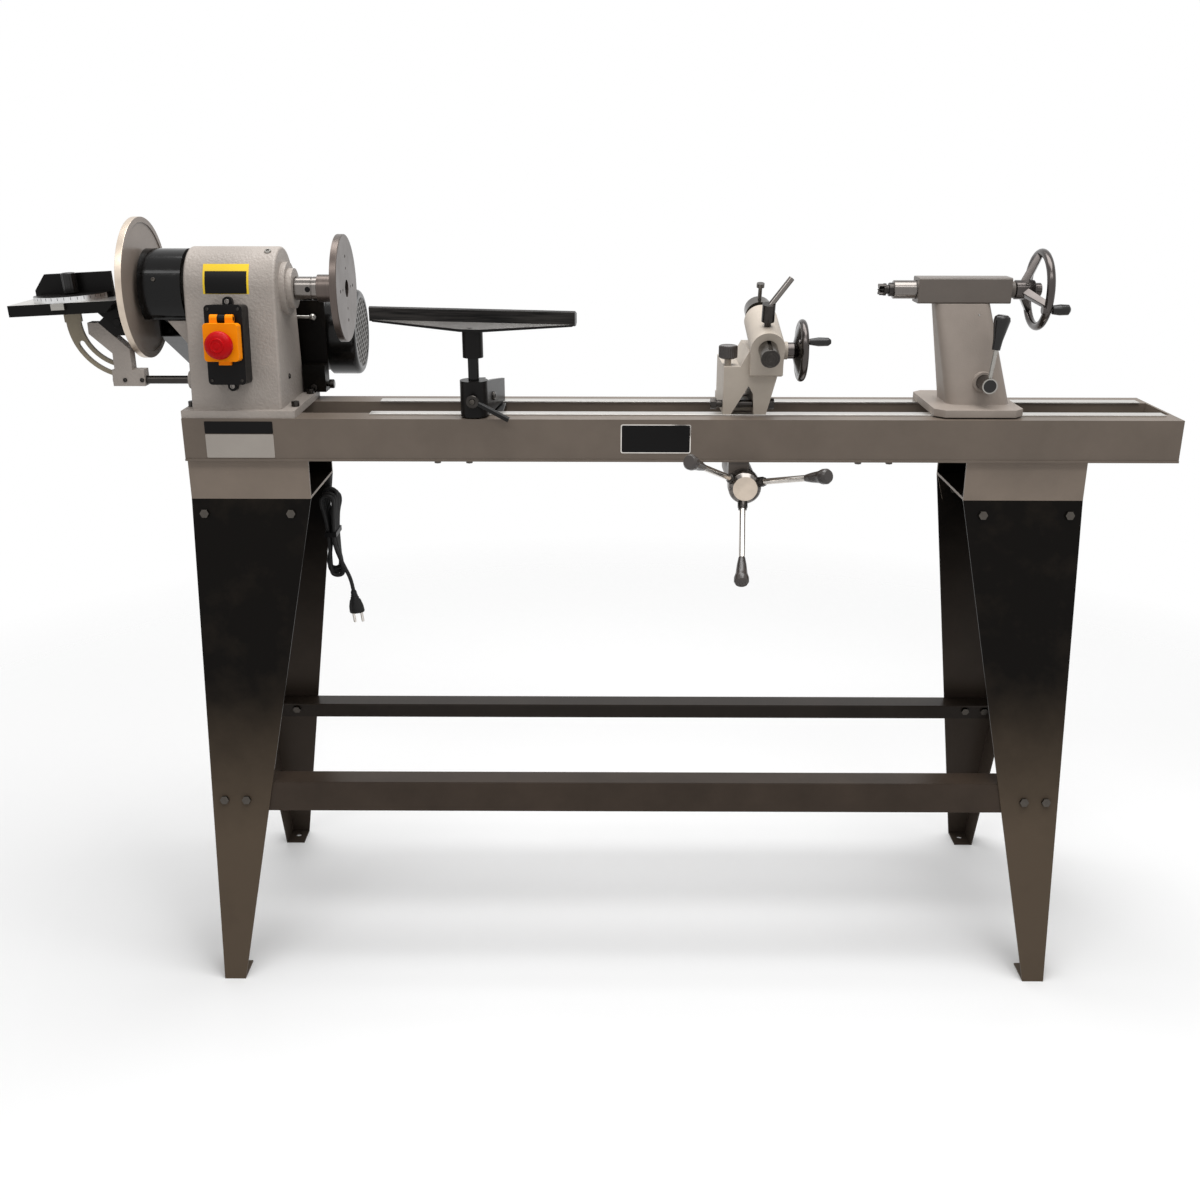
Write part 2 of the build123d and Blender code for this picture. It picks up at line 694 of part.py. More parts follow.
# Motor with its plate and pulley
fan_right = head_right + FAN_OUT
fan_left = fan_right - FAN_LENGTH
motor_left = fan_left - MOTOR_LENGTH
motor = rod_x(motor_left, fan_left, MOTOR_Y, motor_z, MOTOR_R)
motor += rod_x(motor_left - 10, motor_left, MOTOR_Y, motor_z, MOTOR_R - 8)
fan_cover = rod_x(fan_left, fan_right, MOTOR_Y, motor_z, FAN_R)
fan_cover = fillet(fan_cover.edges().sort_by(Axis.X)[-1], 8)
fan_cover -= rod_x(fan_left - 1, fan_right - 3, MOTOR_Y, motor_z, FAN_R - 3)
for ring, count in ((20, 6), (42, 12)):
    for index in range(count):
        turn = radians(index * 360 / count)
        y = MOTOR_Y + ring * cos(turn)
        z = motor_z + ring * sin(turn)
        fan_cover -= rod_x(fan_right - 4, fan_right + 1, y, z, 5)
motor += fan_cover
motor += rod_x(fan_left - 1, fan_right - 25, MOTOR_Y, motor_z, MOTOR_R - 12)
motor += rod_x(fan_left - 2, fan_left + 6, MOTOR_Y, motor_z, FAN_R - 2)
pad_left = motor_left + 25
pad_right = fan_left - 25
motor += box(pad_left, pad_right, PLATE_Y + PLATE_THICK, MOTOR_Y, motor_z - 38, motor_z + 38)
parts["motor"] = motor - rod_x(motor_left - 11, motor_left + 30, MOTOR_Y, motor_z, MOTOR_SHAFT_R + RUN)
pulley = step_pulley(STEP_RADII[::-1], MOTOR_SHAFT_R - 1, MOTOR_Y, motor_z)
parts["motor_pulley"] = pulley + rod_x(pulley_left, motor_left + 29, MOTOR_Y, motor_z, MOTOR_SHAFT_R)
plate_left_x = head_left + 14
plate_right_x = head_right + 37
bracket_box = box(
    head_right + 2, plate_right_x, PLATE_Y - 24, PLATE_Y + PLATE_THICK, base_top + CLEAR, base_top + 42
)
bracket_box -= box(
    head_right + 1, plate_right_x - 4, PLATE_Y - 20, PLATE_Y, base_top - 1, base_top + 38
)
motor_plate = box(
    plate_left_x, plate_right_x, PLATE_Y, PLATE_Y + PLATE_THICK, base_top, base_top + PLATE_HEIGHT
)
parts["motor_plate"] = motor_plate + bracket_box

# Belt tension lever behind the headstock
lever_end = lever_x + LEVER_REACH
lever_y = PLATE_Y - 6
belt_lever = rod_y(PLATE_Y - 12 + SLIDE, PLATE_Y - SLIDE, lever_x, lever_z, 9)
belt_lever += rod_x(lever_x, lever_end, lever_y, lever_z, 3)
parts["belt_lever"] = belt_lever + Pos(lever_end, lever_y, lever_z) * Sphere(5.5)

# Switch on the sloping front wall
switch_x = head_left + SWITCH_X
switch_z = axis_z - SWITCH_DROP
switch_plane = Plane(
    origin=(switch_x, wall_y(switch_z), switch_z),
    x_dir=(1, 0, 0),
    z_dir=(0, -cos(wall_lean), sin(wall_lean)),
)
switch_box = extrude(RectangleRounded(SWITCH_WIDTH, SWITCH_HEIGHT, 6), amount=SWITCH_DEPTH)
ear = SlotCenterToCenter(SWITCH_HEIGHT + 8, 14, rotation=90)
switch_box += extrude(ear, amount=9)
hinge_up = COVER_SHIFT + COVER_HEIGHT / 2 + 6
hinge_out = SWITCH_DEPTH + 7
rocker_y = COVER_SHIFT - 8
switch_box += Pos(0, hinge_up, 0) * box(-5, 5, -6, 6, SWITCH_DEPTH - 1, hinge_out)
switch_box += rod((-5, hinge_up, hinge_out), (5, hinge_up, hinge_out), 6)
switch_box += rod((-17, hinge_up, hinge_out), (17, hinge_up, hinge_out), 2.5)
switch_box -= Pos(0, rocker_y, 0) * box(-10.5, 10.5, -15.5, 15.5, SWITCH_DEPTH - 14, SWITCH_DEPTH + 1)
switch_box += rod((-12, rocker_y, SWITCH_DEPTH - 5), (12, rocker_y, SWITCH_DEPTH - 5), 2)
parts["switch_box"] = switch_plane * switch_box
rocker = outline((-14, 1), (0, -2), (14, 6), (13, -6), (-13, -9))
rocker = extrude(Plane.YZ * rocker, amount=20)
rocker = Pos(-10, rocker_y, SWITCH_DEPTH - 5) * (rocker + rod((0, 0, 0), (20, 0, 0), 4.5))
rocker -= rod((-12, rocker_y, SWITCH_DEPTH - 5), (12, rocker_y, SWITCH_DEPTH - 5), 2 + RUN)
parts["switch_rocker"] = switch_plane * rocker
cover_base = SWITCH_DEPTH + CLEAR
cover = extrude(RectangleRounded(COVER_WIDTH, COVER_HEIGHT, 5), amount=COVER_DEPTH)
cover -= extrude(
    RectangleRounded(COVER_WIDTH - 2 * COVER_WALL, COVER_HEIGHT - 2 * COVER_WALL, 4),
    amount=COVER_DEPTH - COVER_WALL,
)
cover = Pos(0, COVER_SHIFT, cover_base) * cover
for x in (-11, 11):
    lug = rod((x - 5.5, hinge_up, hinge_out), (x + 5.5, hinge_up, hinge_out), 6)
    lug += box(x - 5.5, x + 5.5, hinge_up - 8, hinge_up, hinge_out - 4, hinge_out + 6)
    cover += lug
cover -= rod((-18, hinge_up, hinge_out), (18, hinge_up, hinge_out), 2.5 + RUN)
cover += Pos(0, COVER_SHIFT - COVER_HEIGHT / 2 - 3, cover_base) * box(-9, 9, -3, 4, 0, 5)
stop_y = COVER_SHIFT - 3.5
cover_front = cover_base + COVER_DEPTH
cover -= Pos(0, stop_y, 0) * Cylinder(8 + RUN, 2 * cover_front + 2)
parts["switch_cover"] = switch_plane * cover
dome = [
    (0, -7), (8, -7), (8, STOP_TRAVEL + 1), (STOP_R - 2, STOP_TRAVEL + 1), (STOP_R, STOP_TRAVEL + 4),
    (STOP_R - 1, STOP_TRAVEL + 10), (STOP_R - 6, STOP_TRAVEL + 14), (0, STOP_TRAVEL + 16),
]
stop_button = revolve(Plane.XZ * outline(*dome), axis=Axis.Z)
parts["stop_button"] = switch_plane * Pos(0, stop_y, cover_front) * stop_button

# Sanding table: built level, then tilted about its pivot
pivot_z = axis_z - PIVOT_DROP
pivot = (pivot_x, 0, pivot_z)
table_top = pivot_z + TABLE_RISE
table_right = disc_face - TABLE_GAP
table_left = table_right - TABLE_LENGTH
table_half = TABLE_WIDTH / 2
arm_back = ARM_Y + ARM_WIDTH
table = box(table_left, table_right, -table_half, table_half, table_top - TABLE_DEPTH, table_top)
table = chamfer(table.edges().filter_by(Axis.Y).group_by(Axis.Z)[0].sort_by(Axis.X)[-1], TABLE_DEPTH - 2)
table -= box(
    table_left + TABLE_SKIN, table_right - TABLE_DEPTH - TABLE_SKIN, -table_half + TABLE_SKIN,
    table_half - TABLE_SKIN, table_top - TABLE_DEPTH - 1, table_top - TABLE_SKIN,
)
slot_half = MITRE_BAR / 2 + SLIDE
table += box(
    mitre_x - slot_half - 5, mitre_x + slot_half + 5, -table_half, table_half,
    table_top - TABLE_DEPTH, table_top,
)
table -= box(
    mitre_x - slot_half, mitre_x + slot_half, -table_half - 1, table_half + 1,
    table_top - MITRE_BAR_DEPTH - SLIDE, table_top + 1,
)
for y in (ARM_Y - 8, arm_back + QUAD_SHEET + 8):
    lug = hull(
        Pos(pivot_x, pivot_z) * Circle(9), Pos(pivot_x - 14, table_top - TABLE_SKIN - 1) * Rectangle(44, 2)
    )
    table += prism_y(lug, y, y + 7)
table -= rod_y(-table_half, table_half, pivot_x, pivot_z, 5 + RUN)


def tilted(shape):
    return turn_about(shape, pivot, (0, -TABLE_TILT, 0))


parts["sanding_table"] = tilted(table)
quad_y = arm_back + CLEAR
quadrant = Circle(QUAD_OUT) - Circle(QUAD_IN)
wedge_angles = [radians(angle) for angle in (180, 200, 225, 250, 272)]
wedge = outline((0, 0), *[(200 * cos(angle), 200 * sin(angle)) for angle in wedge_angles])
quadrant = quadrant & wedge
slot_arc = CenterArc((0, 0), QUAD_SLOT_R, 205, 63)
quadrant -= SlotArc(slot_arc, QUAD_SLOT)
tab_high = TABLE_RISE - TABLE_DEPTH
quadrant += Pos(-(QUAD_OUT + QUAD_IN) / 2, tab_high / 2) * Rectangle(QUAD_OUT - QUAD_IN + 4, tab_high)
quadrant = prism_y(Pos(pivot_x, pivot_z) * quadrant, quad_y, quad_y + QUAD_SHEET)
parts["tilt_quadrant"] = tilted(quadrant)

# Arm on its rod, with the clamp stud and the trunnion that carries the table
parts["table_rod"] = rod_x(pivot_x - 22, head_left + 60, rod_y_place, rod_z_place, ROD_R)
arm_face = outline(
    (pivot_x - 47, pivot_z - 2), (pivot_x - 31, pivot_z - 2), (pivot_x + 10, pivot_z - 40),
    (pivot_x + 10, rod_z_place + 16), (pivot_x + 27, rod_z_place + 16), (pivot_x + 27, rod_z_place - 8),
    (pivot_x - 20, rod_z_place - 8), (pivot_x - 20, rod_z_place + 16), (pivot_x - 16, rod_z_place + 16),
    (pivot_x - 16, pivot_z - 46), (pivot_x - 47, pivot_z - 18),
)
arm = prism_y(arm_face, ARM_Y, arm_back)
arm -= rod_x(pivot_x - 30, pivot_x + 40, rod_y_place, rod_z_place, ROD_R + RUN)
stud_x = pivot_x + QUAD_SLOT_R * cos(radians(STUD_ANGLE))
stud_z = pivot_z + QUAD_SLOT_R * sin(radians(STUD_ANGLE))
arm += rod_y(arm_back - 5, quad_y + QUAD_SHEET + CLEAR, stud_x, stud_z, 4)
arm += rod_y(quad_y + QUAD_SHEET + CLEAR, quad_y + QUAD_SHEET + 14, stud_x, stud_z, 10)
parts["table_arm"] = arm
arm_slope = 38 / 41
trunnion = outline(
    (pivot_x - 31, pivot_z - 2), (pivot_x - 20, pivot_z + 8), (pivot_x + 9, pivot_z + 8),
    (pivot_x + 9, pivot_z - 20), (pivot_x - 11, pivot_z - 2 - 20 * arm_slope),
)
trunnion = prism_y(trunnion, ARM_Y, arm_back)
pin_front = ARM_Y - 10
pin_rear = arm_back + QUAD_SHEET + 17
parts["table_trunnion"] = trunnion + rod_y(pin_front, pin_rear, pivot_x, pivot_z, 5)

# Mitre gauge in the table slot
mitre_bar = box(
    mitre_x - MITRE_BAR / 2, mitre_x + MITRE_BAR / 2, -table_half - 7, MITRE_Y + 70,
    table_top - MITRE_BAR_DEPTH, table_top,
)
mitre_bar += rod_z(table_top, table_top + 26, mitre_x, MITRE_Y, 4)
parts["mitre_bar"] = tilted(mitre_bar)
half_disc = Circle(MITRE_HEAD_R) & Pos(0, -MITRE_HEAD_R) * Rectangle(3 * MITRE_HEAD_R, 2 * MITRE_HEAD_R)
protractor = prism_z(half_disc, table_top + SLIDE, table_top + 8)
fence = outline(
    (-MITRE_HEAD_R - 5, 0), (MITRE_HEAD_R + 5, 0), (MITRE_HEAD_R + 5, FENCE_HEIGHT),
    (12 - MITRE_HEAD_R, FENCE_HEIGHT), (-MITRE_HEAD_R - 5, FENCE_HEIGHT - 22),
)
protractor += prism_y(Pos(0, table_top + SLIDE) * fence, 12, 18)
protractor += box(-MITRE_HEAD_R, MITRE_HEAD_R, -1, 13, table_top + SLIDE, table_top + 8)
protractor = Pos(mitre_x, MITRE_Y, 0) * protractor
protractor -= rod_z(table_top - 1, table_top + 10, mitre_x, MITRE_Y, 4 + RUN)
parts["mitre_head"] = tilted(protractor)
mitre_knob = rod_z(table_top + 8 + SLIDE, table_top + 38, mitre_x, MITRE_Y, 10.5)
mitre_knob = fillet(mitre_knob.edges().sort_by(Axis.Z)[-1], 4)
mitre_knob -= rod_z(table_top, table_top + 26 + SLIDE, mitre_x, MITRE_Y, 4 + RUN)
parts["mitre_knob"] = tilted(mitre_knob)

# Tool rest: banjo clamped between the ways, post, swivelling bar
clamp_top = rail_top - SLIDE
banjo_base = way_top + SLIDE
banjo_top = banjo_base + BANJO_THICK
arm_dir = (cos(radians(BANJO_TURN)), sin(radians(BANJO_TURN)))
clamp_along = -REST_Y / arm_dir[1]
clamp_x = rest_x + clamp_along * arm_dir[0]


def clamp_set(x, y, length, top):
    half_width = gap_half - CLEAR
    plate = box(x - length / 2, x + length / 2, -half_width, half_width, clamp_top - CLAMP_PLATE, clamp_top)
    return plate + rod_z(clamp_top - 1, top, x, y, CLAMP_R)


nut_seat = banjo_base + BANJO_FLOOR + SLIDE
nut_top = nut_seat + 14
rest_clamp = clamp_set(clamp_x, 0, REST_CLAMP, nut_top)
rest_clamp += Pos(clamp_x, 0, nut_seat) * extrude(RegularPolygon(11, 6), amount=11)
parts["rest_clamp"] = rest_clamp
holder_top = way_top + HOLDER_TOP
arm_plan = Pos(BANJO_LENGTH / 2, 0) * SlotOverall(BANJO_LENGTH + BANJO_WIDTH, BANJO_WIDTH)
slot_plan = Pos(clamp_along + 5, 0) * SlotOverall(70, 2 * CLAMP_R + 1)
banjo = prism_z(arm_plan, banjo_base, holder_top - 1)
sloped = outline(
    (-BANJO_WIDTH, banjo_base), (BANJO_LENGTH + BANJO_WIDTH, banjo_base),
    (BANJO_LENGTH + BANJO_WIDTH, banjo_top), (BANJO_LENGTH / 2, banjo_top + 15), (0, holder_top - 1),
    (-BANJO_WIDTH, holder_top - 1),
)
banjo &= prism_y(sloped, -BANJO_WIDTH, BANJO_WIDTH)
banjo -= box(
    clamp_along - 34, BANJO_LENGTH + BANJO_WIDTH, 7 - BANJO_WIDTH / 2, BANJO_WIDTH / 2 - 7,
    banjo_base + BANJO_FLOOR, holder_top,
)
banjo -= prism_z(slot_plan, banjo_base - 1, holder_top)
banjo += rod_z(banjo_base, holder_top, 0, 0, HOLDER_R)
banjo -= rod_z(banjo_base - 1, holder_top + 1, 0, 0, POST_R + RUN)
banjo = Pos(rest_x, REST_Y, 0) * Rot(0, 0, BANJO_TURN) * banjo
lock_z = banjo_base + 26
banjo -= rod_y(REST_Y - HOLDER_R - 2, REST_Y, rest_x, lock_z, 4 + RUN)
parts["banjo"] = banjo
lock_front = REST_Y - HOLDER_R - 1
rest_lever = rod_y(lock_front, REST_Y - POST_R - CLEAR, rest_x, lock_z, 4)
rest_lever += rod_y(lock_front - 12, lock_front, rest_x, lock_z, 7)
lever_tip = (rest_x + 52, lock_front - 8, lock_z - 27)
parts["rest_lever"] = rest_lever + rod((rest_x, lock_front - 6, lock_z), lever_tip, 4)
bar_top = axis_z - REST_TOP
boss_low = holder_top + 33
parts["rest_post"] = rod_z(banjo_base + 2, boss_low + 30, rest_x, REST_Y, POST_R)
ledge = outline((-7, -2), (-4, 0), (7, -4), (7, -17), (3, -21), (-7, -21))
half_bar = REST_LENGTH / 2
rest_bar = prism_x(Pos(0, bar_top) * ledge, -half_bar, half_bar)
web = outline(
    (4 - half_bar, bar_top - 18), (half_bar - 4, bar_top - 18), (half_bar - 4, bar_top - 22),
    (15, bar_top - 32), (-15, bar_top - 32), (4 - half_bar, bar_top - 22),
)
flare_plan = outline(
    (4 - half_bar, -7), (-15, -FLARE_REACH), (15, -FLARE_REACH), (half_bar - 4, -7), (half_bar - 4, 3),
    (4 - half_bar, 3),
)
flare_side = outline((3, -18), (-6, -18), (-FLARE_REACH, -28), (-FLARE_REACH, -32), (3, -32))
flare = prism_z(flare_plan, bar_top - 32, bar_top - 18) & prism_y(web, -FLARE_REACH, 3)
rest_bar += flare & prism_x(Pos(0, bar_top) * flare_side, -half_bar, half_bar)
rest_bar += rod_z(boss_low, bar_top - 10, 0, 0, 15) & box(-20, 20, -7, 20, boss_low, bar_top - 10)
rest_bar += rod_z(boss_low, bar_top - 26, 0, 0, 15)
rest_bar -= rod_z(boss_low - 1, boss_low + 30 + SLIDE, 0, 0, POST_R + RUN)
parts["rest_bar"] = Pos(rest_x, REST_Y, 0) * Rot(0, 0, REST_TURN) * rest_bar

# Copy carriage: an arched casting with an inclined barrel for the ram
tilt = radians(RAM_TILT)
ram_dir = Vector(0, cos(tilt), sin(tilt))
ram_up = Vector(0, -sin(tilt), cos(tilt))
crossing = Vector(copy_x, RAM_CROSS_Y, way_top + RAM_HEIGHT)


def on_ram(along, above=0.0):
    return crossing + ram_dir * along + ram_up * above


def ram_rod(start, end, radius, above=0.0):
    return rod(tuple(on_ram(start, above)), tuple(on_ram(end, above)), radius)


copy_base = way_top + SLIDE
wall_x = copy_x - COPY_WALL
frame_face = outline(
    (wall_x, copy_base), (wall_x + 12, copy_base), (wall_x + 37, copy_base + 42),
    (wall_x + 44, copy_base + 30), (wall_x + 46, copy_base), (copy_right - 16, copy_base),
    (copy_right - 12, copy_base + 15), (copy_right, copy_base + 62), (copy_right + 4, copy_base + 92),
    (copy_x - 25, copy_base + 92), (copy_x - 37, copy_base + 70), (wall_x, copy_base + 70),
)
casting = prism_y(frame_face, -60, 60)
casting += box(wall_x, copy_right - 16, 40, COPY_HALF_Y, copy_base, copy_base + 11)
casting += box(wall_x, copy_right - 16, -32, 41, copy_base, copy_base + 9)
casting += ram_rod(-BARREL_FRONT, BARREL_LENGTH, BARREL_R)
chin_top = on_ram(-BARREL_FRONT)
chin_edge = on_ram(-BARREL_FRONT, -BARREL_R)
chin = outline(
    (chin_top.Y, chin_top.Z), (chin_edge.Y, chin_edge.Z), (chin_edge.Y, chin_edge.Z - CHIN_DROP),
    (-58, chin_edge.Z - CHIN_DROP - 4), (-50, chin_top.Z - 8),
)
casting += prism_x(chin, copy_x - BARREL_R + 1, copy_x + BARREL_R - 1)
pinion_r = RACK_MODULE * PINION_TEETH / 2
mesh_low = RAM_R - 2 * RACK_MODULE
pinion_centre = on_ram(PINION_ALONG, -mesh_low - pinion_r)
pinion_y = pinion_centre.Y
pinion_z = pinion_centre.Z
casting += rod_x(copy_x, copy_x + 34, pinion_y, pinion_z, 13)
casting -= ram_rod(-40, BARREL_LENGTH + 40, RAM_R + RUN)
casting -= rod_x(copy_x - 8, copy_x + 8, pinion_y, pinion_z, pinion_r + 2)
casting -= rod_x(copy_x, copy_x + 40, pinion_y, pinion_z, 6 + RUN)
lever_along = 20.0
casting -= rod(tuple(on_ram(lever_along, RAM_R - 2)), tuple(on_ram(lever_along, BARREL_R + 5)), 5 + RUN)
knob_x = wall_x + 7
knob_y = -40.0
knob_base = copy_base + 70
casting += rod_z(knob_base - 5, knob_base + 24, knob_x, knob_y, 5)
parts["copy_casting"] = casting


def rack_teeth(reach_left, reach_right, module):
    pitch = pi * module
    half = 0.4 * pitch / 2
    slope = 0.36 * 0.8 * module
    tooth = outline(
        (-half - slope, 1.6 * module), (-half - slope, 0.8 * module), (-half + slope, -0.8 * module),
        (half - slope, -0.8 * module), (half + slope, 0.8 * module), (half + slope, 1.6 * module),
    )
    first = -int(reach_left / pitch - 0.5)
    last = int(reach_right / pitch - 0.5)
    return Sketch() + [Pos(index * pitch, 0) * tooth for index in range(first, last + 1)]


def pinion_face(teeth, module):
    radius = module * teeth / 2
    half = 0.4 * pi * module / 2
    slope = 0.36 * 0.8 * module
    low = radius - 1.3 * module
    foot = radius - 0.8 * module
    tip = radius + 0.8 * module
    tooth = outline(
        (-half - slope, low - 1), (-half - slope, foot), (-half + slope, tip),
        (half - slope, tip), (half + slope, foot), (half + slope, low - 1),
    )
    return Circle(low) + [Rot(0, 0, (index + 0.5) * 360 / teeth) * tooth for index in range(teeth)]


ram_front = -RAM_FRONT
ram_rear = RAM_LENGTH - RAM_FRONT
ram = ram_rod(ram_front, ram_rear, RAM_R)
ram_plane = Plane(origin=tuple(crossing), x_dir=tuple(ram_dir), z_dir=(1, 0, 0))
rack_low = mesh_low - 1.3 * RACK_MODULE
rack_cut = Box(RAM_LENGTH + 2, 2 * (RAM_R - rack_low), 2 * RACK_HALF)
ram -= ram_plane * Pos((ram_front + ram_rear) / 2, -RAM_R, 0) * rack_cut
ram_rack = extrude(rack_teeth(RAM_RACK / 2, RAM_RACK / 2, RACK_MODULE), amount=RACK_HALF, both=True)
ram += ram_plane * Pos(PINION_ALONG, -mesh_low, 0) * ram_rack
ram -= ram_plane * Pos(ram_front + 28, RAM_R, 0) * Box(60, 6, 5)
parts["copy_ram"] = ram
holder_at = ram_rear - 20
tool_holder = ram_rod(holder_at - 12, holder_at + 12, 21)
tool_holder -= ram_rod(holder_at - 13, holder_at + 13, RAM_R + RUN)
pin_foot = on_ram(holder_at, RAM_R + CLEAR)
pin_top = on_ram(holder_at, 46)
tool_holder += rod(tuple(pin_foot), tuple(pin_top), 3)
parts["tool_holder"] = tool_holder + rod(tuple(on_ram(holder_at, 40)), tuple(pin_top), 6)

# Ram handwheel with its pinion
wheel_hub_left = copy_x + 34 + SLIDE
wheel = turned_x(
    [
        (wheel_hub_left, 0), (wheel_hub_left, 12), (wheel_x - 12, 12), (wheel_x - 5, WHEEL_R - 2),
        (wheel_x, WHEEL_R - 2), (wheel_x - 5, 12), (wheel_x, 12), (wheel_x, 0),
    ],
    pinion_y,
    pinion_z,
)
wheel += Pos(wheel_x, pinion_y, pinion_z) * Rot(0, 90, 0) * Torus(WHEEL_R, WHEEL_RIM_R)
wheel += rod_x(copy_x - 6, wheel_hub_left + 1, pinion_y, pinion_z, 6)
pinion = extrude(Plane.YZ * Rot(0, 0, RAM_TILT) * pinion_face(PINION_TEETH, RACK_MODULE), amount=10)
wheel += Pos(copy_x - 5, pinion_y, pinion_z) * pinion
grip_y = pinion_y - 29
grip_z = pinion_z + 17
wheel += rod_x(wheel_x - 8, wheel_x + 38, grip_y, grip_z, 3)
parts["copy_handwheel"] = wheel
copy_grip = turned_x(
    [
        (wheel_x + 7, 3 + RUN), (wheel_x + 7, 4.5), (wheel_x + 20, 6.5), (wheel_x + 34, 6),
        (wheel_x + 38, 3 + RUN),
    ],
    grip_y,
    grip_z,
)
parts["copy_grip"] = copy_grip
ram_lever = rod(tuple(on_ram(lever_along, RAM_R + CLEAR)), tuple(on_ram(lever_along, 40)), 5)
ram_lever += rod(tuple(on_ram(lever_along, BARREL_R + 7)), tuple(on_ram(lever_along, 58)), 9.5)
arm_start = on_ram(lever_along, 53)
arm_end = arm_start + Vector(32, 8, 40)
parts["ram_lever"] = ram_lever + rod(tuple(arm_start), tuple(arm_end), 4.5)
copy_knob = rod_z(knob_base + 9, knob_base + 29, knob_x, knob_y, 14)
copy_knob = chamfer(copy_knob.edges().sort_by(Axis.Z)[-1], 2)
copy_knob -= rod_z(knob_base, knob_base + 24 + SLIDE, knob_x, knob_y, 5 + RUN)
parts["copy_knob"] = copy_knob

# Feed: rack on the rear rail, apron through the bed gap, three-spoke handle
feed_r = FEED_MODULE * FEED_TEETH / 2
rack_line = feed_z + feed_r
rack_left = inner_top + 6
rack_right = -inner_top - 6
rack_y0 = gap_half - RACK_WIDTH
rack_y1 = gap_half
rack_high = STAND_HEIGHT + RACK_RISE
feed_rack = box(rack_left, rack_right, rack_y0, rack_y1, rack_line + 1.3 * FEED_MODULE, rack_high)
teeth = rack_teeth(feed_x - rack_left, rack_right - feed_x, FEED_MODULE)
feed_rack += prism_y(Pos(feed_x, rack_line) * teeth, rack_y0, rack_y1)
parts["feed_rack"] = feed_rack
apron = rod_y(FEED_FRONT + SLIDE, 30, feed_x, feed_z, APRON_R)
apron += box(feed_x - 15, feed_x + 15, -26, 26, feed_z, copy_base)
block_left = feed_x - APRON_BLOCK_LEFT
apron += box(
    block_left, block_left + APRON_BLOCK, -APRON_BLOCK_FRONT, APRON_BLOCK - APRON_BLOCK_FRONT,
    feed_z, STAND_HEIGHT - CLEAR,
)
apron -= rod_y(FEED_FRONT - 1, 31, feed_x, feed_z, FEED_SHAFT_R + RUN)
parts["feed_apron"] = apron
feed_handle = rod_y(FEED_FRONT, rack_y1, feed_x, feed_z, FEED_SHAFT_R)
hub_face = outline(
    (0, 0), (FEED_HUB_R, 0), (FEED_HUB_R, FEED_HUB - 7), (FEED_HUB_R - 6, FEED_HUB), (0, FEED_HUB)
)
hub_plane = Plane(origin=(feed_x, FEED_FRONT, feed_z), x_dir=(1, 0, 0), z_dir=(0, -1, 0))
feed_handle += hub_plane * revolve(Plane.XZ * hub_face, axis=Axis.Z)
pinion = extrude(Plane.XZ * pinion_face(FEED_TEETH, FEED_MODULE), amount=rack_y1 - rack_y0)
feed_handle += Pos(feed_x, rack_y1, feed_z) * pinion
hub_centre = Vector(feed_x, FEED_FRONT + 4, feed_z)
lean = radians(SPOKE_CONE)
feed_knobs = []
for turn in (-90, 30, 150):
    turn = radians(turn + SPOKE_TURN)
    spoke_dir = Vector(cos(turn) * cos(lean), -sin(lean), sin(turn) * cos(lean))
    spoke_end = hub_centre + spoke_dir * SPOKE_LENGTH
    feed_handle += rod(tuple(hub_centre + spoke_dir * 10), tuple(spoke_end), SPOKE_R)
    knob_profile = outline(
        (0, 0), (5, 0), (7, 12), (8.5, 26), (10.8, 34), (10.8, KNOB_LENGTH - 4), (8.5, KNOB_LENGTH),
        (0, KNOB_LENGTH),
    )
    knob = revolve(Plane.XZ * knob_profile, axis=Axis.Z)
    feed_knobs.append(Plane(origin=tuple(spoke_end), z_dir=tuple(spoke_dir)) * knob)
parts["feed_handle"] = feed_handle
parts["feed_knobs"] = Compound(feed_knobs)

# Tailstock: leaning column, square housing, quill and handwheel
tail_base = way_top + SLIDE
tail_foot = tail_base + TAIL_BASE_THICK
housing_low = axis_z - HOUSING_SIDE / 2
base_plan = Pos(tail_x, 0) * chamfer(
    Rectangle(TAIL_BASE_LENGTH, TAIL_BASE_WIDTH).vertices(), 14
)
column_foot_x = tail_x + 9
foot_section = RectangleRounded(COLUMN_FOOT_LENGTH, COLUMN_FOOT_WIDTH, 18)
foot_section = Pos(column_foot_x, 0, tail_foot - 1) * foot_section
top_section = RectangleRounded(COLUMN_TOP_LENGTH, COLUMN_TOP_WIDTH, 12)
top_section = Pos(column_foot_x + TAIL_LEAN, 0, housing_low) * top_section
tail_body = prism_z(base_plan, tail_base, tail_foot) + loft([foot_section, top_section])
tail_lever_z = way_top + TAIL_LEVER_Z
tail_body += rod_y(-TAIL_BOSS_FRONT, 12 - TAIL_BOSS_FRONT, tail_lever_x, tail_lever_z, TAIL_BOSS_R)
tail_body -= rod_y(-COLUMN_FOOT_WIDTH, TAIL_BORE_BACK, tail_lever_x, tail_lever_z, TAIL_LEVER_R + RUN)
tail_body -= rod_z(tail_base - 1, tail_lever_z - TAIL_LEVER_R, tail_lever_x, 0, CLAMP_R + RUN)
parts["tail_body"] = tail_body
parts["tail_clamp"] = clamp_set(tail_lever_x, 0, TAIL_CLAMP, tail_lever_z - TAIL_LEVER_R - CLEAR)
housing = box(
    housing_left, housing_right, -HOUSING_SIDE / 2, HOUSING_SIDE / 2, housing_low, axis_z + HOUSING_SIDE / 2
)
housing = chamfer(housing.edges().filter_by(Axis.X), 2)
screw_r = 6.0
collar_left = housing_right
housing += rod_x(collar_left, collar_left + 8, 0, axis_z, 12)
housing -= rod_x(housing_left - 1, housing_right - 6, 0, axis_z, QUILL_R + RUN)
housing -= rod_x(housing_right - 7, collar_left + 9, 0, axis_z, screw_r + RUN)
parts["tail_housing"] = housing
quill_left = housing_left - QUILL_OUT
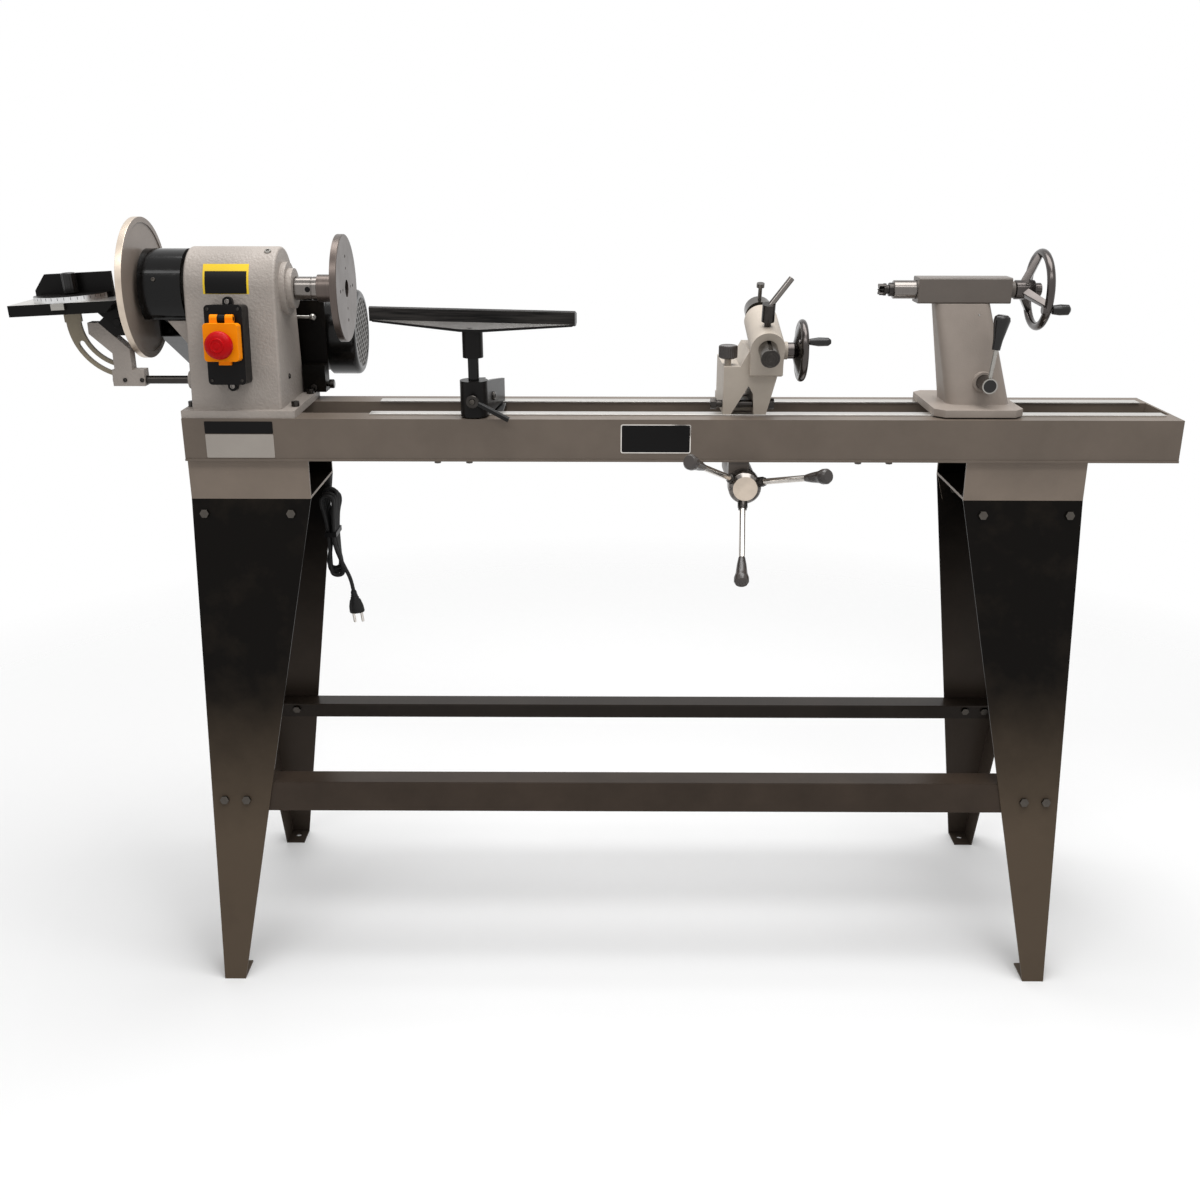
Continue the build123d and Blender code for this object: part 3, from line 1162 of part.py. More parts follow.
quill = rod_x(quill_left, housing_right - 7 - QUILL_BACK, 0, axis_z, QUILL_R)
quill -= rod_x(quill_left + 50, housing_right, 0, axis_z, screw_r + CLEAR)
quill -= rod_x(quill_left - 1, quill_left + 30, 0, axis_z, 8 + RUN)
parts["tail_quill"] = quill
spur = rod_x(quill_left - 8, quill_left, 0, axis_z, 10) + rod_x(quill_left, quill_left + 29, 0, axis_z, 8)
for turn in range(4):
    prong = outline((0, 4), (SPUR_LENGTH - 10, 4), (SPUR_LENGTH - 10, 9.6), (4, 9.6))
    prong = extrude(Plane.XY * Pos(quill_left - SPUR_LENGTH + 2, 0) * prong, amount=1.6, both=True)
    spur += Pos(0, 0, axis_z) * Rot(turn * 90 + 45, 0, 0) * prong
spur += turned_x([(quill_left - SPUR_LENGTH, 0), (quill_left - 8, 5), (quill_left - 8, 0)], 0, axis_z)
parts["spur_centre"] = spur
hub_left = collar_left + 8 + SLIDE
tail_wheel = rod_x(hub_left, tail_wheel_x + 2, 0, axis_z, 10)
tail_wheel += rod_x(hub_left, tail_wheel_x - 8, 0, axis_z, TAIL_HUB_R)
tail_wheel += rod_x(quill_left + 52 + QUILL_BACK, hub_left + 1, 0, axis_z, screw_r)
rim = Pos(tail_wheel_x, TAIL_WHEEL_R) * RegularPolygon(TAIL_RIM_R, 10, rotation=18)
tail_wheel += Pos(0, 0, axis_z) * revolve(rim, axis=Axis.X)
for turn in (80, 200, 320):
    y = cos(radians(turn))
    z = sin(radians(turn))
    tail_wheel += rod(
        (hub_left + 9, 5 * y, axis_z + 5 * z),
        (tail_wheel_x, TAIL_WHEEL_R * y, axis_z + TAIL_WHEEL_R * z),
        5,
    )
tail_grip_y = -47.5
tail_grip_z = axis_z - 23.5
grip_left = tail_wheel_x + TAIL_RIM_R
tail_wheel += rod_x(tail_wheel_x - 8, grip_left + 27, tail_grip_y, tail_grip_z, 3.5)
parts["tail_handwheel"] = tail_wheel
parts["tail_grip"] = turned_x(
    [
        (grip_left + 1, 3.5 + RUN), (grip_left + 1, 6.5), (grip_left + 12, 8), (grip_left + 24, 7.5),
        (grip_left + 27, 3.5 + RUN),
    ],
    tail_grip_y,
    tail_grip_z,
)
lever_front = -75.0
tail_lever = rod_y(lever_front, 30, tail_lever_x, tail_lever_z, TAIL_LEVER_R)
lever_y = lever_front + 8
handle = rod((0, 0, 0), (0, 0, 62), 3)
pear = outline((0, 0), (6, 0), (7, 14), (9.5, 28), (12, 42), (11, 47), (7, 50), (0, 50))
pear = revolve(Plane.XZ * pear, axis=Axis.Z)
handle += Pos(0, 0, 52) * pear
handle = Pos(tail_lever_x, lever_y, tail_lever_z) * Rot(0, TAIL_LEVER_LEAN, 0) * handle
parts["tail_lever"] = tail_lever + handle

# Mains cord: gland, free ends, tied hank and plug
hank_x = inner_top + HANK_ACROSS
hank_z = leg_top - HANK_DROP
gland_low = leg_top - 12
gland_x = inner_top - 6
gland_y = CORD_Y
gland = box(gland_x - 6, gland_x + 6, gland_y - 6, gland_y + 6, gland_low, leg_top)
parts["cord_gland"] = gland


def hank_point(across, back, up):
    return (hank_x + across, CORD_Y - back, hank_z + up)


def strand_point(back, up):
    return hank_point(HANK_WAIST + (HANK_WIDE - HANK_WAIST) * up / HANK_HALF, back, up)


hank_points = [strand_point(0, 28.0)]
hank_radii = []
for loop in range(HANK_LOOPS):
    back = loop * HANK_STEP
    hank_points += [
        hank_point(HANK_WAIST, back, 0),
        hank_point(HANK_WIDE, back, -HANK_HALF),
        hank_point(-HANK_WIDE, back, -HANK_HALF),
        hank_point(-HANK_WAIST, back + HANK_STEP / 2, 0),
        hank_point(-HANK_WIDE, back + HANK_STEP, HANK_HALF),
        hank_point(HANK_WIDE, back + HANK_STEP, HANK_HALF),
    ]
    hank_radii += [60.0, HANK_BEND, HANK_BEND, 60.0, HANK_BEND, HANK_BEND]
last = HANK_LOOPS * HANK_STEP
hank_points += [strand_point(last, 14.0)]
lead_points = [
    (gland_x, gland_y, gland_low),
    (gland_x, gland_y, gland_low - 14),
    strand_point(0, 44.0),
    hank_points[0],
]
tail_points = [
    hank_points[-1],
    strand_point(last, -10.0),
    hank_point(9.0, last + 1, -33.0),
    hank_point(19.0, last + 2, -56.0),
    hank_point(28.0, last + 1, -77.0),
    hank_point(30.0, last, -97.0),
]


def corner_radii(points):
    radii = []
    for before, here, after in zip(points, points[1:], points[2:]):
        first = Vector(*here) - Vector(*before)
        second = Vector(*after) - Vector(*here)
        turn = radians(first.get_angle(second))
        radii.append(0.45 * min(first.length, second.length) / tan(turn / 2))
    return radii


def tube(points, radii, name):
    path = FilletPolyline(*points, radius=radii)
    section = Plane(origin=path @ 0, z_dir=path % 0) * Circle(CORD_R)
    solid = sweep(section, path=path)
    expected = pi * CORD_R ** 2 * path.length
    print(name, "length", round(path.length, 1), "volume share", round(solid.volume / expected, 4))
    return solid


def least_gap(points, radii):
    path = FilletPolyline(*points, radius=radii)
    count = int(path.length / 2)
    places = [tuple(path @ (index / count)) for index in range(count + 1)]
    apart = int(10 * CORD_R / 2)
    near = min(
        dist(first, second) for index, first in enumerate(places) for second in places[index + apart:]
    )
    return near - 2 * CORD_R


lead_radii = corner_radii(lead_points)
tail_radii = corner_radii(tail_points)
print("lead radii", [round(value, 1) for value in lead_radii])
print("tail radii", [round(value, 1) for value in tail_radii])
lead = tube(lead_points, lead_radii, "lead")
tail = tube(tail_points, tail_radii, "tail")
parts["cord"] = Compound([lead, tail])
parts["cord_hank"] = tube(hank_points, hank_radii, "hank")
print("least gap in the hank", round(least_gap(hank_points, hank_radii), 2))

tie_x = HANK_WAIST + CORD_R + 0.8
tie_y0 = CORD_Y - last - CORD_R - 0.6
tie_y1 = CORD_Y + CORD_R + 0.3
tie = box(hank_x - tie_x - 1.5, hank_x + tie_x + 1.5, tie_y0 - 1.5, tie_y1 + 1.5, hank_z - 4, hank_z + 4)
tie -= box(hank_x - tie_x, hank_x + tie_x, tie_y0, tie_y1, hank_z - 5, hank_z + 5)
parts["cord_tie"] = tie
plug_profile = outline(
    (0, 0), (4.5, 0), (4.5, -7), (8.5, -20), (11.5, -24), (11.8, -PLUG_LENGTH + 3), (10.5, -PLUG_LENGTH),
    (0, -PLUG_LENGTH),
)
plug = revolve(Plane.XZ * plug_profile, axis=Axis.Z)
for x in (-9.5, 9.5):
    plug += rod((x * 0.7, 0, -PLUG_LENGTH - 18), (x * 0.7, 0, -PLUG_LENGTH + 1), 2.4)
plug_top = tail_points[-1]
tail_run = Vector(*tail_points[-1]) - Vector(*tail_points[-2])
parts["plug"] = Plane(origin=plug_top, x_dir=(0, 1, 0), z_dir=tuple(tail_run * -1)) * plug

os.makedirs("parts", exist_ok=True)
for name, shape in parts.items():
    export_step(shape, f"parts/{name}.step")
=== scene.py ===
import json
from math import atan2, cos, pi, radians, sin

import bmesh
import bpy
from mathutils import Matrix, Vector


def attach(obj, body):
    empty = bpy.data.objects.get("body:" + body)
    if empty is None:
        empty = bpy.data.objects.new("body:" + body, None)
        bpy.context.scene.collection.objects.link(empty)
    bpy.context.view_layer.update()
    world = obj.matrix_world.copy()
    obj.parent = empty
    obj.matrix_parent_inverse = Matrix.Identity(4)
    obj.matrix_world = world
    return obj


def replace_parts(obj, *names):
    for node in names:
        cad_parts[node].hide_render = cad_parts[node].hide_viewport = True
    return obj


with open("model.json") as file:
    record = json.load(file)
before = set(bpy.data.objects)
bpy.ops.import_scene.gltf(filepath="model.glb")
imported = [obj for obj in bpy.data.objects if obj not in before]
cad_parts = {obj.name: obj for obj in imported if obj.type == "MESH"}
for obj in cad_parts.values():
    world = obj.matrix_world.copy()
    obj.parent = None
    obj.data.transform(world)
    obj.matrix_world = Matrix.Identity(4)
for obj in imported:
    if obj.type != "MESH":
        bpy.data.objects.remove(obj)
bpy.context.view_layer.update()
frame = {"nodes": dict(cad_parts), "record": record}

# A wood lathe with a copy carriage on a sheet-steel stand. Metres, in the frame of the solids.
# Sizes and places of pieces are written in millimetres and scaled by MM.
MM = 0.001
nodes = frame["nodes"]
body_of_node = {}
for body_name, members in frame["record"]["behaviour"]["bodies"].items():
    for member in members:
        body_of_node[member] = body_name

RIGHT = Vector((1, 0, 0))
LEFT = Vector((-1, 0, 0))
FRONT = Vector((0, -1, 0))
UP = Vector((0, 0, 1))
DOWN = Vector((0, 0, -1))

# Camera, at the photograph's viewing point
CAMERA_PLACE = (-0.04855, -1.92373, 1.24807)
CAMERA_DOWN = 19.74
CAMERA_LEFT = 0.2
CAMERA_ROLL = 0.09
FOCAL_PIXELS = 1269.2
FRAME_PIXELS = 1200
SENSOR = 36.0

camera_data = bpy.data.cameras.new("camera")
camera_data.sensor_fit = "HORIZONTAL"
camera_data.sensor_width = SENSOR
camera_data.lens = SENSOR * FOCAL_PIXELS / FRAME_PIXELS
camera = bpy.data.objects.new("camera", camera_data)
heading = Matrix.Rotation(radians(CAMERA_LEFT), 4, "Z")
tilt = Matrix.Rotation(radians(90 - CAMERA_DOWN), 4, "X")
roll = Matrix.Rotation(radians(CAMERA_ROLL), 4, "Z")
camera.matrix_world = Matrix.Translation(CAMERA_PLACE) @ heading @ tilt @ roll
bpy.context.collection.objects.link(camera)
bpy.context.scene.camera = camera
bpy.context.scene.view_settings.view_transform = "Standard"

# Finishes: sizes of their patterns, and the stand's black that turns lighter towards the bottom, as
# painted floor glare on the front legs
PATCH = 90 * MM             # broad changes of shade in paint
STAIN = 35 * MM             # stains on bare metal
TOOL_MARK = 0.01 * MM       # depth of the marks on bare metal
GRIT = 0.5 * MM             # width of the sanding sheet's grains
GRIT_DEPTH = 0.3 * MM
DULLER = 0.09               # paint's roughness varies by this much upwards
GLOSSIER = 0.07             # and by this much downwards
GLARE_LOW = 0.2              # painted floor glare: the front legs take its colour up to this height
GLARE_HIGH = 0.52            # and are plain black from this height
GRADIENT_PATCH = 70 * MM
GRADIENT_UNEVEN = 0.2
# colour of the front legs' painted floor glare, at the bottom
GLARE_BLACK = (0.089, 0.066, 0.046)
# the rear legs also turn lighter towards the bottom, from higher up and to a darker colour
REAR_LIGHTER_LOW = 0.3
REAR_LIGHTER_HIGH = 0.74
REAR_LOWER_BLACK = (0.042, 0.032, 0.025)
TOP_BLACK = (0.0026, 0.0018, 0.0012)
STAND_GRAIN = 1.2 * MM
STAND_BUMP = 0.03 * MM
STAND_SHINE = 0.08
GRIT_DARK = (0.05, 0.03, 0.02)
GRIT_LIGHT = (0.22, 0.12, 0.07)
LENGTHWISE = (1, 90, 90)
TURNED_X = (90, 1, 1)
STREAKED = (1, 4, 26)


def new_finish(name):
    finish = bpy.data.materials.new(name)
    finish.use_nodes = True
    return finish, finish.node_tree, finish.node_tree.nodes["Principled BSDF"]


def add_node(tree, kind, **values):
    made = tree.nodes.new(kind)
    for key, value in values.items():
        made.inputs[key.replace("_", " ")].default_value = value
    return made


def pattern_place(tree, stretch=(1, 1, 1)):
    place = tree.nodes.new("ShaderNodeTexCoord")
    mapping = add_node(tree, "ShaderNodeMapping", Scale=stretch)
    tree.links.new(place.outputs["Object"], mapping.inputs["Vector"])
    return mapping.outputs["Vector"]


def noise(tree, place, size, detail=3.0, rough=0.5):
    made = add_node(tree, "ShaderNodeTexNoise", Scale=1 / size, Detail=detail, Roughness=rough)
    tree.links.new(place, made.inputs["Vector"])
    return made.outputs["Fac"]


def blended(tree, factor, low, high, start=0.35, end=0.65):
    ramp = tree.nodes.new("ShaderNodeValToRGB")
    ramp.color_ramp.elements[0].position = start
    ramp.color_ramp.elements[0].color = (*low, 1)
    ramp.color_ramp.elements[1].position = end
    ramp.color_ramp.elements[1].color = (*high, 1)
    tree.links.new(factor, ramp.inputs["Fac"])
    return ramp.outputs["Color"]


def ranged(tree, factor, low, high):
    made = add_node(tree, "ShaderNodeMapRange", To_Min=low, To_Max=high)
    tree.links.new(factor, made.inputs["Value"])
    return made.outputs["Result"]


def raised(tree, shader, height, depth, strength=0.6):
    bump = add_node(tree, "ShaderNodeBump", Strength=strength, Distance=depth)
    tree.links.new(height, bump.inputs["Height"])
    tree.links.new(bump.outputs["Normal"], shader.inputs["Normal"])


def shade(colour, share):
    return tuple(value * share for value in colour)


def paint(name, colour, rough, grain, depth, change=0.85, shine=0.4, stretch=(1, 1, 1)):
    """Paint or moulded plastic: broad changes of shade, fine changes of gloss and height.

    In places the colour falls to the share called change. Grain and depth are the width and
    the height of the fine pattern in millimetres, and shine is the strength of reflections.
    """
    finish, tree, shader = new_finish(name)
    broad = noise(tree, pattern_place(tree, stretch), PATCH, detail=4, rough=0.6)
    tree.links.new(blended(tree, broad, shade(colour, change), colour), shader.inputs["Base Color"])
    fine = noise(tree, pattern_place(tree), grain * MM, detail=2)
    tree.links.new(ranged(tree, fine, rough - GLOSSIER, rough + DULLER), shader.inputs["Roughness"])
    raised(tree, shader, fine, depth * MM)
    shader.inputs["Specular IOR Level"].default_value = shine
    return finish


def graded_black_paint(name, low, high, lower_colour):
    """Black paint lighter towards the bottom: the top black above the height called high, the lower
    colour below the one called low.
    """
    finish, tree, shader = new_finish(name)
    place = pattern_place(tree)
    axes = tree.nodes.new("ShaderNodeSeparateXYZ")
    tree.links.new(place, axes.inputs["Vector"])
    upper_share = add_node(tree, "ShaderNodeMapRange", From_Min=low, From_Max=high)
    upper_share.interpolation_type = "SMOOTHSTEP"
    tree.links.new(axes.outputs["Z"], upper_share.inputs["Value"])
    patches = noise(tree, place, GRADIENT_PATCH, detail=4, rough=0.6)
    uneven = tree.nodes.new("ShaderNodeMath")
    tree.links.new(upper_share.outputs["Result"], uneven.inputs[0])
    tree.links.new(ranged(tree, patches, -GRADIENT_UNEVEN, GRADIENT_UNEVEN), uneven.inputs[1])
    colour = blended(tree, uneven.outputs["Value"], lower_colour, TOP_BLACK, start=0.0, end=1.0)
    tree.links.new(colour, shader.inputs["Base Color"])
    fine = noise(tree, place, STAND_GRAIN, detail=2)
    tree.links.new(ranged(tree, fine, low=0.28, high=0.42), shader.inputs["Roughness"])
    raised(tree, shader, fine, STAND_BUMP)
    shader.inputs["Specular IOR Level"].default_value = STAND_SHINE
    return finish


def metal(name, colour, rough, stretch=(1, 1, 1), size=60, change=0.85):
    """Bare or plated metal: tool marks, size millimetres long, and stains in the gloss."""
    finish, tree, shader = new_finish(name)
    shader.inputs["Metallic"].default_value = 1.0
    lines = noise(tree, pattern_place(tree, stretch), size * MM, detail=3, rough=0.55)
    tree.links.new(blended(tree, lines, shade(colour, change), colour), shader.inputs["Base Color"])
    stain = noise(tree, pattern_place(tree), STAIN, detail=4, rough=0.6)
    tree.links.new(ranged(tree, stain, rough * 0.8, rough * 1.3), shader.inputs["Roughness"])
    raised(tree, shader, lines, TOOL_MARK, strength=0.3)
    return finish


def abrasive():
    """Sanding sheet: coloured grains, matte and rough."""
    finish, tree, shader = new_finish("abrasive_sheet")
    grains = add_node(tree, "ShaderNodeTexVoronoi", Scale=1 / GRIT)
    tree.links.new(pattern_place(tree), grains.inputs["Vector"])
    height = grains.outputs["Distance"]
    colour = blended(tree, height, GRIT_DARK, GRIT_LIGHT, start=0.1, end=0.7)
    tree.links.new(colour, shader.inputs["Base Color"])
    shader.inputs["Roughness"].default_value = 0.85
    raised(tree, shader, height, GRIT_DEPTH)
    return finish


# Paints: name, colour, roughness, width and height of the grain, then change and shine
cast_grey = paint("cast_grey_paint", (0.34, 0.3, 0.268), 0.46, 4.0, 1.6)
bed_grey = paint("bed_grey_paint", (0.143, 0.1135, 0.09), 0.42, 2.5, 0.06, shine=0.3)
column_grey = paint("column_grey_paint", (0.3, 0.255, 0.22), 0.5, 2.2, 0.3, shine=0.35)
bracket_grey = paint("bracket_grey_paint", (0.213, 0.17, 0.135), 0.42, 2.5, 0.06, shine=0.3)
housing_grey = paint("housing_grey_paint", (0.115, 0.096, 0.082), 0.36, 2.0, 0.04)
pale_grey = paint("carriage_pale_paint", (0.43, 0.375, 0.315), 0.48, 2.0, 0.25)
# Front legs: black with painted floor glare, lighter towards the bottom
stand_black = graded_black_paint("stand_black_glare_paint", GLARE_LOW, GLARE_HIGH, GLARE_BLACK)
rear_black = graded_black_paint("stand_rear_paint", REAR_LIGHTER_LOW, REAR_LIGHTER_HIGH, REAR_LOWER_BLACK)
# painted reflection: the front bar's black is lighter than the legs' black
bar_reflection_black = paint("bar_black_painted_reflection", (0.047, 0.0335, 0.0245), 0.3, 1.2, 0.03, 0.75, 0.12)
# painted shade: the rear bar takes the front bar's black made darker
rear_bar_shade_black = paint("rear_bar_painted_shade", (0.024, 0.0178, 0.0135), 0.3, 1.2, 0.03, 0.75, 0.12)
gloss_black = paint("guard_gloss_black", (0.0024, 0.0022, 0.0021), 0.12, 14, 0.25, 0.7, 0.22)
cast_black = paint("cast_black_paint", (0.0065, 0.0057, 0.0054), 0.3, 1.3, 0.2, 0.7, 0.12)
streaked_black = paint(
    "rest_streaked_black", (0.03, 0.027, 0.025), 0.22, 1.3, 0.1, 0.08, 0.1, STREAKED,
)
# painted highlight under the rest bar's ledge: a lighter, glossier black
rest_highlight_casting = paint("rest_bar_painted_highlight", (0.12, 0.11, 0.1), 0.2, 1.6, 0.5, 0.6, 0.6)
table_black = paint("table_black_paint", (0.006, 0.0055, 0.0052), 0.34, 0.9, 0.08, 0.7, 0.1)
olive_sheet = paint("quadrant_olive_sheet", (0.29, 0.245, 0.175), 0.4, 1.5, 0.04)
disc_paint = paint("disc_grey_back", (0.205, 0.166, 0.138), 0.32, 2.0, 0.03)
motor_black = paint("motor_black_paint", (0.0048, 0.0043, 0.004), 0.2, 1.5, 0.05, 0.7, 0.24)
black_plastic = paint("black_moulded_plastic", (0.0045, 0.004, 0.004), 0.36, 0.6, 0.03, 0.8, 0.12)
knob_plastic = paint("knob_dark_plastic", (0.009, 0.008, 0.0074), 0.2, 0.8, 0.05, 0.8, 0.35)
brown_plastic = paint("knob_brown_plastic", (0.05, 0.04, 0.035), 0.24, 0.8, 0.1, 0.5, 0.5)
yellow_plastic = paint("cover_yellow_plastic", (0.95, 0.275, 0.002), 0.4, 0.7, 0.02, 0.9, 0.08)
red_plastic = paint("button_red_plastic", (0.46, 0.001, 0.003), 0.34, 0.7, 0.02, 0.9, 0.12)
cord_rubber = paint("cord_black_rubber", (0.011, 0.0105, 0.0105), 0.5, 0.9, 0.04, 0.8, 0.25)
belt_rubber = paint("belt_rubber", (0.012, 0.012, 0.012), 0.62, 0.8, 0.06, 0.8, 0.2)
label_yellow = paint("plate_yellow_print", (0.78, 0.53, 0.02), 0.4, 3, 0.01, 0.9, 0.3)
label_pale = paint("plate_pale_print", (0.36, 0.325, 0.29), 0.35, 3, 0.01, 0.92, 0.3)
abrasive_sheet = abrasive()

# Metals: name, colour, roughness, direction or size of the tool marks
way_steel = metal("way_ground_steel", (0.62, 0.6, 0.57), 0.3, LENGTHWISE)
turned_steel = metal("turned_steel", (0.185, 0.169, 0.157), 0.18, TURNED_X)
ram_steel = metal("ram_steel", (0.13, 0.12, 0.11), 0.24, size=25)
rod_steel = metal("rod_steel", (0.36, 0.345, 0.32), 0.26, LENGTHWISE)
bright_steel = metal("bright_plated_steel", (0.74, 0.7, 0.655), 0.13, size=20)
dark_steel = metal("blackened_steel", (0.045, 0.041, 0.038), 0.24, size=12)
plate_steel = metal("faceplate_steel", (0.115, 0.095, 0.085), 0.32, TURNED_X)
wheel_metal = metal("handwheel_dark_plating", (0.085, 0.076, 0.072), 0.2, size=25)
bolt_metal = metal("bolt_steel", (0.086, 0.077, 0.068), 0.34, size=10)
grille_metal = metal("fan_cover_grille", (0.085, 0.079, 0.072), 0.36, size=25)
aluminium = metal("turned_aluminium", (0.7, 0.7, 0.7), 0.3, TURNED_X)
satin_steel = metal("hub_satin_steel", (0.62, 0.53, 0.44), 0.36, size=25)

# Pieces
SAME_POINT = 0.001 * MM     # points closer than this are merged
FLAT = 0.5                  # faces that meet within this many degrees become one
SUNK = 0.3                  # screw and bolt heads reach this far into what carries them
PLATE_THICK = 0.6


def add_piece(name, shape, finish, owner, sharp=40):
    """Makes an object of the shape with the finish; it rides with the owner node's body."""
    bmesh.ops.recalc_face_normals(shape, faces=shape.faces)
    mesh = bpy.data.meshes.new(name)
    shape.to_mesh(mesh)
    shape.free()
    mesh.polygons.foreach_set("use_smooth", [True] * len(mesh.polygons))
    mesh.set_sharp_from_angle(angle=radians(sharp))
    mesh.materials.append(finish)
    piece = bpy.data.objects.new(name, mesh)
    bpy.context.collection.objects.link(piece)
    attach(piece, body_of_node[owner])
    piece.modifiers.new("flat_faces", "WEIGHTED_NORMAL").keep_sharp = True
    return piece


def merged_solid(node):
    shape = bmesh.new()
    shape.from_mesh(nodes[node].data)
    bmesh.ops.remove_doubles(shape, verts=shape.verts, dist=SAME_POINT)
    bmesh.ops.dissolve_limit(
        shape, angle_limit=radians(FLAT), verts=shape.verts, edges=shape.edges,
    )
    return shape


def bevel(shape, edges, offset, segments):
    bmesh.ops.bevel(
        shape, geom=edges, offset=offset * MM, offset_type="OFFSET", segments=segments, profile=0.5,
        affect="EDGES", clamp_overlap=True, material=-1,
    )


def round_corners(shape, edge, least=42):
    """Rounds the edges off whose faces meet at more than the least angle."""
    corners = []
    for line in shape.edges:
        if line.is_manifold and line.calc_face_angle() > radians(least):
            corners.append(line)
    bevel(shape, corners, edge, segments=2)


def softened(node, finish, edge):
    """The solid again, with its edges rounded off as paint, casting or machining leaves them."""
    shape = merged_solid(node)
    round_corners(shape, edge)
    piece = add_piece(node + "_form", shape, finish, node)
    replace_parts(piece, node)
    return piece


def recoat(piece, finish, chosen):
    """A further finish on the faces whose middle, in millimetres, and direction are chosen."""
    piece.data.materials.append(finish)
    for face in piece.data.polygons:
        if chosen(face.center / MM, face.normal):
            face.material_index = len(piece.data.materials) - 1


def put(shape, place, along):
    """Moves a shape from the origin to the place, in millimetres, and turns its z axis along."""
    turn = Vector(along).to_track_quat("Z", "Y").to_matrix().to_4x4()
    move = Matrix.Translation(Vector(place) * MM)
    bmesh.ops.transform(shape, matrix=move @ turn, verts=shape.verts)


def spun(profile, steps):
    """A shape of (radius, height) pairs in millimetres, spun about the z axis."""
    shape = bmesh.new()
    points = [shape.verts.new((radius * MM, 0, height * MM)) for radius, height in profile]
    lines = [shape.edges.new(pair) for pair in zip(points, points[1:])]
    bmesh.ops.spin(
        shape, geom=points + lines, cent=(0, 0, 0), axis=(0, 0, 1), angle=2 * pi, steps=steps,
        use_merge=True,
    )
    bmesh.ops.remove_doubles(shape, verts=shape.verts, dist=SAME_POINT)
    return shape


def turned(name, profile, place, along, finish, owner, steps=32):
    """A profile of (radius, height) pairs, spun about the line from place along."""
    shape = spun(profile, steps)
    put(shape, place, along)
    return add_piece(name, shape, finish, owner)


def socket_screw(name, place, along, radius, finish, owner):
    """A round screw head with a socket, standing half its radius proud."""
    proud = radius / 2
    profile = [
        (0, proud * 0.2), (radius * 0.5, proud * 0.2), (radius * 0.55, proud),
        (radius * 0.85, proud), (radius, proud * 0.6), (radius, -SUNK), (0, -SUNK),
    ]
    return turned(name, profile, place, along, finish, owner, steps=20)


def tapered_bar(sides, start, end, wide, narrow, edge):
    """A bar from start to end whose section has that many sides, with rounded edges."""
    along = end - start
    shape = bmesh.new()
    bmesh.ops.create_cone(
        shape, cap_ends=True, segments=sides, radius1=wide * MM, radius2=narrow * MM,
        depth=along.length * MM,
    )
    round_corners(shape, edge)
    put(shape, (start + end) / 2, along)
    return shape


def hex_head(name, place, along, radius, height, finish, owner):
    way = Vector(along).normalized()
    base = Vector(place) - way * SUNK
    shape = tapered_bar(6, base, base + way * height, radius, radius, edge=0.8)
    return add_piece(name, shape, finish, owner)


def thin_plate(name, left, right, low, high, front, corner, finish, owner):
    """A flat plate with rounded corners on an upright front."""
    shape = bmesh.new()
    bmesh.ops.create_cube(shape, size=1.0)
    size = Matrix.Diagonal(((right - left) * MM, PLATE_THICK * MM, (high - low) * MM, 1))
    middle = Vector(((left + right) / 2, front - PLATE_THICK / 2, (low + high) / 2)) * MM
    bmesh.ops.transform(shape, matrix=Matrix.Translation(middle) @ size, verts=shape.verts)
    through = []
    for line in shape.edges:
        if abs(line.verts[0].co.y - line.verts[1].co.y) > PLATE_THICK * MM / 2:
            through.append(line)
    bevel(shape, through, corner, segments=5)
    return add_piece(name, shape, finish, owner)


# Each solid's finish and the rounding of its edges
COATS = {
    "legs_left": (stand_black, 0.5), "legs_right": (stand_black, 0.5), "cross_bars": (bar_reflection_black, 0.6),
    "leg_brackets": (bracket_grey, 0.8), "bed": (bed_grey, 1.0), "ways": (way_steel, 0.3),
    "headstock": (cast_grey, 1.5), "frame_bolts": (bolt_metal, 0.5),
    "spindle_pulley": (aluminium, 0.4), "drive_belt": (belt_rubber, 0.5),
    "faceplate": (plate_steel, 0.5), "sanding_disc": (disc_paint, 0.5),
    "guard_lid": (gloss_black, 0.3), "guard": (gloss_black, 0.3), "motor_pulley": (aluminium, 0.4),
    "motor_plate": (stand_black, 0.8), "belt_lever": (rod_steel, 0.4),
    "switch_box": (black_plastic, 1.0), "switch_rocker": (black_plastic, 0.6),
    "switch_cover": (yellow_plastic, 0.6), "stop_button": (red_plastic, 0.8),
    "sanding_table": (table_black, 0.7), "tilt_quadrant": (olive_sheet, 0.5),
    "table_rod": (dark_steel, 0.4), "table_arm": (cast_grey, 1.2), "table_trunnion": (cast_black, 0.8),
    "mitre_bar": (rod_steel, 0.4), "mitre_head": (cast_black, 0.8), "rest_clamp": (dark_steel, 0.5),
    "banjo": (cast_black, 1.2), "rest_lever": (gloss_black, 0.5), "rest_post": (gloss_black, 0.5),
    "rest_bar": (streaked_black, 0.8), "copy_casting": (pale_grey, 1.5), "copy_ram": (ram_steel, 0.5),
    "tool_holder": (ram_steel, 0.6), "copy_handwheel": (wheel_metal, 0.6),
    "copy_grip": (knob_plastic, 0.4), "ram_lever": (dark_steel, 0.5), "feed_rack": (dark_steel, 0.2),
    "feed_apron": (housing_grey, 0.8), "feed_handle": (bright_steel, 0.5),
    "feed_knobs": (brown_plastic, 0.4), "tail_body": (column_grey, 1.2), "tail_clamp": (dark_steel, 0.6),
    "tail_housing": (housing_grey, 0.6), "tail_grip": (knob_plastic, 0.4),
    "tail_lever": (wheel_metal, 0.5), "cord_tie": (black_plastic, 0.5),
}
forms = {node: softened(node, finish, edge) for node, (finish, edge) in COATS.items()}

